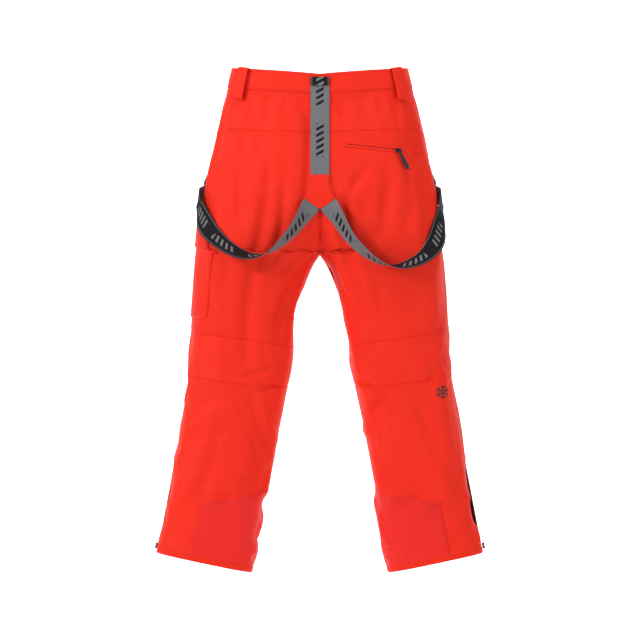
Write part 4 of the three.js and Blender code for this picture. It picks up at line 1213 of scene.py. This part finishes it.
def straight_zip(tape, coil_name, start, end, out, profile, count, lift, node):
    """The tape and coil of a zip that runs straight between two points."""
    along = unit(end - start)
    out = unit(out - along * (out @ along))
    across = np.cross(along, out)
    sweep(tape, straight_path(start, end, across, out, count), profile, zip_cloth, replaces=[node])
    coil(coil_name, start, end, lift, lambda centre: (centre, along, across, out), width=4.2, pitch=1.7)


def pocket_lip(name, path, middle, profile, replaces=()):
    """One of the two cloth lips beside a pocket's zip."""
    piece = sweep(name, path, [(middle + dx, q) for dx, q in profile], shell_cloth, replaces=replaces)


BACK_LIP = ((-2.6, -0.6), (-2.6, 0.9), (-1.8, 1.9), (0, 2.3), (1.9, 2.0), (2.6, 0.9), (2.5, -0.6))
pocket_path = line_path((50, 163), (170, 175))
pocket_lip("back_pocket_lip_upper", pocket_path, -2.9, BACK_LIP, ["back_pocket_welt"])
pocket_lip("back_pocket_lip_lower", pocket_path, 2.9, BACK_LIP)
sweep("back_pocket_tape", line_path((51, 163.1), (169, 174.9)),
      [(-2.4, 0.3), (-2.4, 0.9), (2.4, 0.9), (2.4, 0.3)], zip_cloth, replaces=["back_pocket_teeth"])
coil("back_pocket_coil", (54, 163.4), (160, 174), 0.9, cloth_place((54, 163.4), (160, 174), False))
low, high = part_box("back_pocket_garage")
garage_x, _, garage_z = np.array((low + high) / 2) * 1000
garage = [(garage_x + 13 * math.cos(a), -garage_z + 6.2 * math.sin(a))
          for a in np.linspace(0, 2 * PI, 28, endpoint=False)]
flat_pad("back_pocket_garage_cloth", garage, lambda x, d, h: on_cloth(x, d, h + 0.1), 2.2,
         "back_pocket_garage")
u, v = np.linspace(0.14, 0.62, 24)[:, None], np.linspace(0, 1, 24)[None, :]
points, normals = skin(1, u, 184 + (318 - 184) * v, -2.6)
bag = slab("back_pocket_bag_cloth", points, points - normals * 0.8, lining_cloth, replaces=["back_pocket_bag"])
flat_size(points)

HAND_LIP = ((-2.2, -0.8), (-2.3, 0.9), (-1.6, 2.0), (0, 2.4), (1.6, 2.0), (2.2, 0.8), (2.1, -0.8))
for word, side in SIDES:
    start, end = (side * 146, 105), (side * 172, 245)
    path = line_path(start, end, front=True)
    pocket_lip(f"hand_pocket_lip_inner_{word}", path, -3.6, HAND_LIP, [f"hand_pocket_zip_{word}"])
    pocket_lip(f"hand_pocket_lip_outer_{word}", path, 3.6, HAND_LIP)
    sweep(f"hand_pocket_tape_{word}", path, [(-2.4, 0.2), (-2.4, 0.8), (2.4, 0.8), (2.4, 0.2)], zip_cloth)
    coil(f"hand_pocket_coil_{word}", start, end, 0.8, cloth_place(start, end, True))

LEG_TAPE = [(-19, -18.6), (-19, -18), (-13, -9), (-7.5, -2.5), (-4, -0.4), (0, -0.1), (4, -0.2), (10.5, -1.6),
            (10.5, -2.2)]
for word, side in SIDES:
    top = np.array([side * (float(outer_x(ZIP_TOP)) - 3.4), 0, -ZIP_TOP - 2])
    low = np.array([side * (float(outer_x(HEM_LEVEL)) - 3.6), 0, 1 - HEM_LEVEL])
    straight_zip(f"leg_zip_tape_{word}", f"leg_zip_coil_{word}", top, low, np.array([side * 1.0, 0, 0]),
                 LEG_TAPE, 26, 0.0, f"leg_zip_{word}")
top, low = (raw(1, np.array(2.0), np.array(drop))[0] for drop in (74.0, 230.0))
straight_zip("fly_tape", "fly_coil", top, low, np.array([0, 1.0, 0]),
             [(-10.5, -3.6), (-10.5, -3.0), (0, -2.7), (10.5, -3.0), (10.5, -3.6)], 24, -2.6, "fly_zip")

# ---- waist tab ----
tab_y = float(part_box("waist_tab")[0].y) * 1000
TAB = [(-28, -67.5), (-22, -68.5), (34, -68.5), (34, -34.5), (-22, -34.5), (-28, -35.5), (-28, -46),
       (-28, -57)]
flat_pad("waist_tab_cloth", dense(TAB, 4), lambda x, d, h: np.array([x, tab_y + 0.3 + h, d]), 1.8,
         "waist_tab", body="waist_tab")

# ---- thigh pocket ----
PATCH_WIDTH = 150


def patch(name, node, turns, drops, lift, wall, body="garment", bow=0.0):
    """A cloth patch on the left thigh, raised off the cloth below it, with its edges turned in."""
    u, v = spaced(PATCH_WIDTH, 5)[:, None], spaced(drops[1](0.5) - drops[0](0.5), 5)[None, :]
    top, low = np.vectorize(drops[0])(u), np.vectorize(drops[1])(u)
    turn = turns[0] + (turns[1] - turns[0]) * u + 0 * v
    drop = top + (low - top) * v
    across, along = u * PATCH_WIDTH, v * (low - top)
    edge = np.minimum(np.minimum(across, PATCH_WIDTH - across), np.minimum(along, (low - top) - along))
    rounded = lift * (1 - 0.7 * np.exp(-((edge / 1.6) ** 2))) + 0.5 * np.exp(-((edge - 5) / 2.6) ** 2)
    rounded = rounded + bow * np.sin(PI * u) * np.sin(PI * v)
    outer, inner = skin(-1, turn, drop, rounded)[0], skin(-1, turn, drop, rounded - wall)[0]
    return slab(name, outer, inner, shell_cloth, replaces=[node], body=body), flat_size(outer)


flap_top = lambda u: 340 - 36 * u
pocket, _ = patch("thigh_pocket_cloth", "thigh_pocket", (0.715, 1.305),
                  (lambda u: flap_top(u) + 4, lambda u: 520.0), 3.4, 2.6, bow=0.8)
flap, size = patch("thigh_flap_cloth", "thigh_flap", (0.70, 1.32), (flap_top, lambda u: flap_top(u) + 48),
                   6.6, 1.8, body="thigh_flap")

# ---- stitching ----
STITCH, DASH, THREAD = 3.6, 2.6, 0.32


def stitches(name, runs):
    """Thread dashes along lines of (points, normals)."""
    verts, faces = [], []
    for points, normals in runs:
        step = np.r_[0, np.cumsum(np.linalg.norm(np.diff(points, axis=0), axis=1))]
        at = lambda q, values: np.array([np.interp(q, step, values[:, k]) for k in range(3)])
        for s in np.arange(0.5, step[-1] - DASH, STITCH):
            ends = [at(q, points) for q in (s, s + DASH / 2, s + DASH)]
            n = unit(at(s + DASH / 2, normals))
            across = np.cross(unit(ends[2] - ends[0]), n) * THREAD
            base = len(verts)
            for e, w, h in ((ends[0], 0.55, -0.10), (ends[1], 1.0, 0.30), (ends[2], 0.55, -0.10)):
                verts += [e + across * w + n * (h - 0.1), e + n * (h + 0.22), e - across * w + n * (h - 0.1),
                          e - n * 0.5]
            for a in (base, base + 4):
                faces += [(a + j, a + (j + 1) % 4, a + 4 + (j + 1) % 4, a + 4 + j) for j in range(4)]
            faces += [(base, base + 1, base + 2, base + 3), (base + 11, base + 10, base + 9, base + 8)]
    new_mesh(name, verts, faces, [(v[0], v[2]) for v in verts], stitch_thread)


def turn_run(side, line, offset, turns=(0.004, 0.996), lift=0.55, count=150):
    turn = np.linspace(*turns, count)
    return skin(side, turn, line(turn) + offset, lift)


def drop_run(side, turn, drops, lift=0.55, count=160):
    return skin(side, turn, np.linspace(*drops, count), lift)


BACK_HALF, FRONT_HALF = (0.002, 0.998), (1.006, 1.94)
guard_edge = lambda t: guard_top(np.minimum(t, 2 - t) / GUARD_REACH)
for word, side in SIDES:
    runs = [turn_run(side, *run) for run in (
        (yoke_seam, 3.4), (knee_top, -3.4), (knee_low, 3.4), (band_low, 3.2),
        (knee_top, -3.4, FRONT_HALF), (knee_low, 3.4, FRONT_HALF), (band_low, 3.2, FRONT_HALF),
        (hem_top, 2.2, (0.002, 0.975), 1.4), (hem_top, 2.2, (1.025, 1.998), 1.4),
        (waist_top, 4.0, BACK_HALF, 2.7), (waist_top, BAND - 4.5, BACK_HALF, 2.6),
        (waist_top, 4.0, (1.002, 1.99), 2.7))]
    runs += [drop_run(side, *run) for run in (
        (0.972, (66, ZIP_TOP - 6)), (0.968, (ZIP_TOP, HEM_LEVEL - 14)), (1.032, (ZIP_TOP, HEM_LEVEL - 14)),
        (0.016, (400, 868)), (0.013, (66, 372)))]
    runs += [turn_run(side, guard_edge, 4.5, turns, 1.7, 80) for turns in ((0.0, 0.585), (1.415, 2.0))]
    runs += [drop_run(side, t, (907, float(hem_top(np.array(t))) - 3), 1.7, 60) for t in (0.582, 1.418)]
    stitches(f"seam_stitching_{word}", runs)

# ---- print on the calf: a plain six-armed star ----
STAR_MIDDLE, STAR_FAR = np.array([252.0, 674.0]), 14.0
star_vertices, star_faces = [], []


def star_bar(start, way, reach, count, half, lift):
    """A thin flat bar on the cloth."""
    wide = np.array([-way[1], way[0]])
    base = len(star_vertices)
    for r in np.linspace(*reach, count):
        for s in (-1, 1):
            star_vertices.append(on_cloth(*(start + way * r + wide * half * s), lift))
    star_faces.extend((q, q + 1, q + 3, q + 2) for q in range(base, base + 2 * count - 2, 2))


for arm in range(6):
    angle = arm * PI / 3 + PI / 6
    way, off = np.array([math.cos(angle), math.sin(angle)]), np.array([-math.sin(angle), math.cos(angle)])
    star_bar(STAR_MIDDLE, way, (1.5, STAR_FAR), 7, 1.35, 0.35)
    for turned in (-1, 1):
        branch = way * math.cos(0.9) + off * turned * math.sin(0.9)
        star_bar(STAR_MIDDLE + way * STAR_FAR * 0.58, branch, (0, 5.6), 4, 1.1, 0.40)
star = new_mesh("calf_print", star_vertices, star_faces, [(v[0], v[2]) for v in star_vertices], print_ink)

# ---- whatever CAD node still shows gets its material ----
for node, piece in nodes.items():
    if not piece.hide_render:
        piece.data.materials.clear()
        piece.data.materials.append(BY_SLOT.get(slots[node], shell_cloth))

# ---- floor, backdrop and light ----
FLOOR = float(cad_box[0].z) - 0.15
floor_shader, floor_tree, floor_b = shader("pale_floor", (0.9, 0.9, 0.9), 0.85, spec=0.1)
floor_tone, _ = varied(floor_tree, ((0.88, 0.88, 0.88), (0.92, 0.92, 0.92)), 1.2, 0.4)
floor_tree.links.new(floor_tone, floor_b.inputs["Base Color"])
floor_mesh = bpy.data.meshes.new("floor")
bend = [(8.0 + 1.6 * math.sin(a), 1.6 - 1.6 * math.cos(a)) for a in np.linspace(0.1, PI / 2, 14)]
profile = [(-12.0, 0.0), (8.0, 0.0), *bend, (9.6, 7.0)]
floor_vertices = [(x, y, FLOOR + z) for y, z in profile for x in (-12, 12)]
floor_faces = [(2 * k, 2 * k + 1, 2 * k + 3, 2 * k + 2) for k in range(len(profile) - 1)]
floor_mesh.from_pydata(floor_vertices, [], floor_faces)
floor_mesh.polygons.foreach_set("use_smooth", [True] * len(floor_faces))
floor_mesh.materials.append(floor_shader)
floor = link(bpy.data.objects.new("floor", floor_mesh))

world = bpy.data.worlds.new("studio")
bpy.context.scene.world = world
world.use_nodes = True
world.node_tree.nodes["Background"].inputs["Color"].default_value = (1, 1, 1, 1)
world.node_tree.nodes["Background"].inputs["Strength"].default_value = 0.34


def soft_light(name, place, target, size, watts):
    data = bpy.data.lights.new(name, "AREA")
    data.shape = "RECTANGLE"
    data.size, data.size_y = size
    data.energy = watts
    light = link(bpy.data.objects.new(name, data))
    light.location = place
    light.rotation_euler = (Vector(target) - Vector(place)).to_track_quat("-Z", "Y").to_euler()


MIDDLE = (0, 0, -0.52)
soft_light("key", (-3.0, -2.2, 1.3), MIDDLE, (0.7, 0.7), 84)
soft_light("fill", (2.9, -2.9, 0.2), MIDDLE, (2.0, 2.4), 33)
soft_light("top", (0.3, -1.2, 2.4), MIDDLE, (1.6, 1.6), 34)
soft_light("front", (0.6, 3.2, 1.0), MIDDLE, (2.4, 2.0), 30)
soft_light("backdrop", (0, 5.6, 3.2), (0, 6.6, -1.2), (9.0, 6.0), 820)
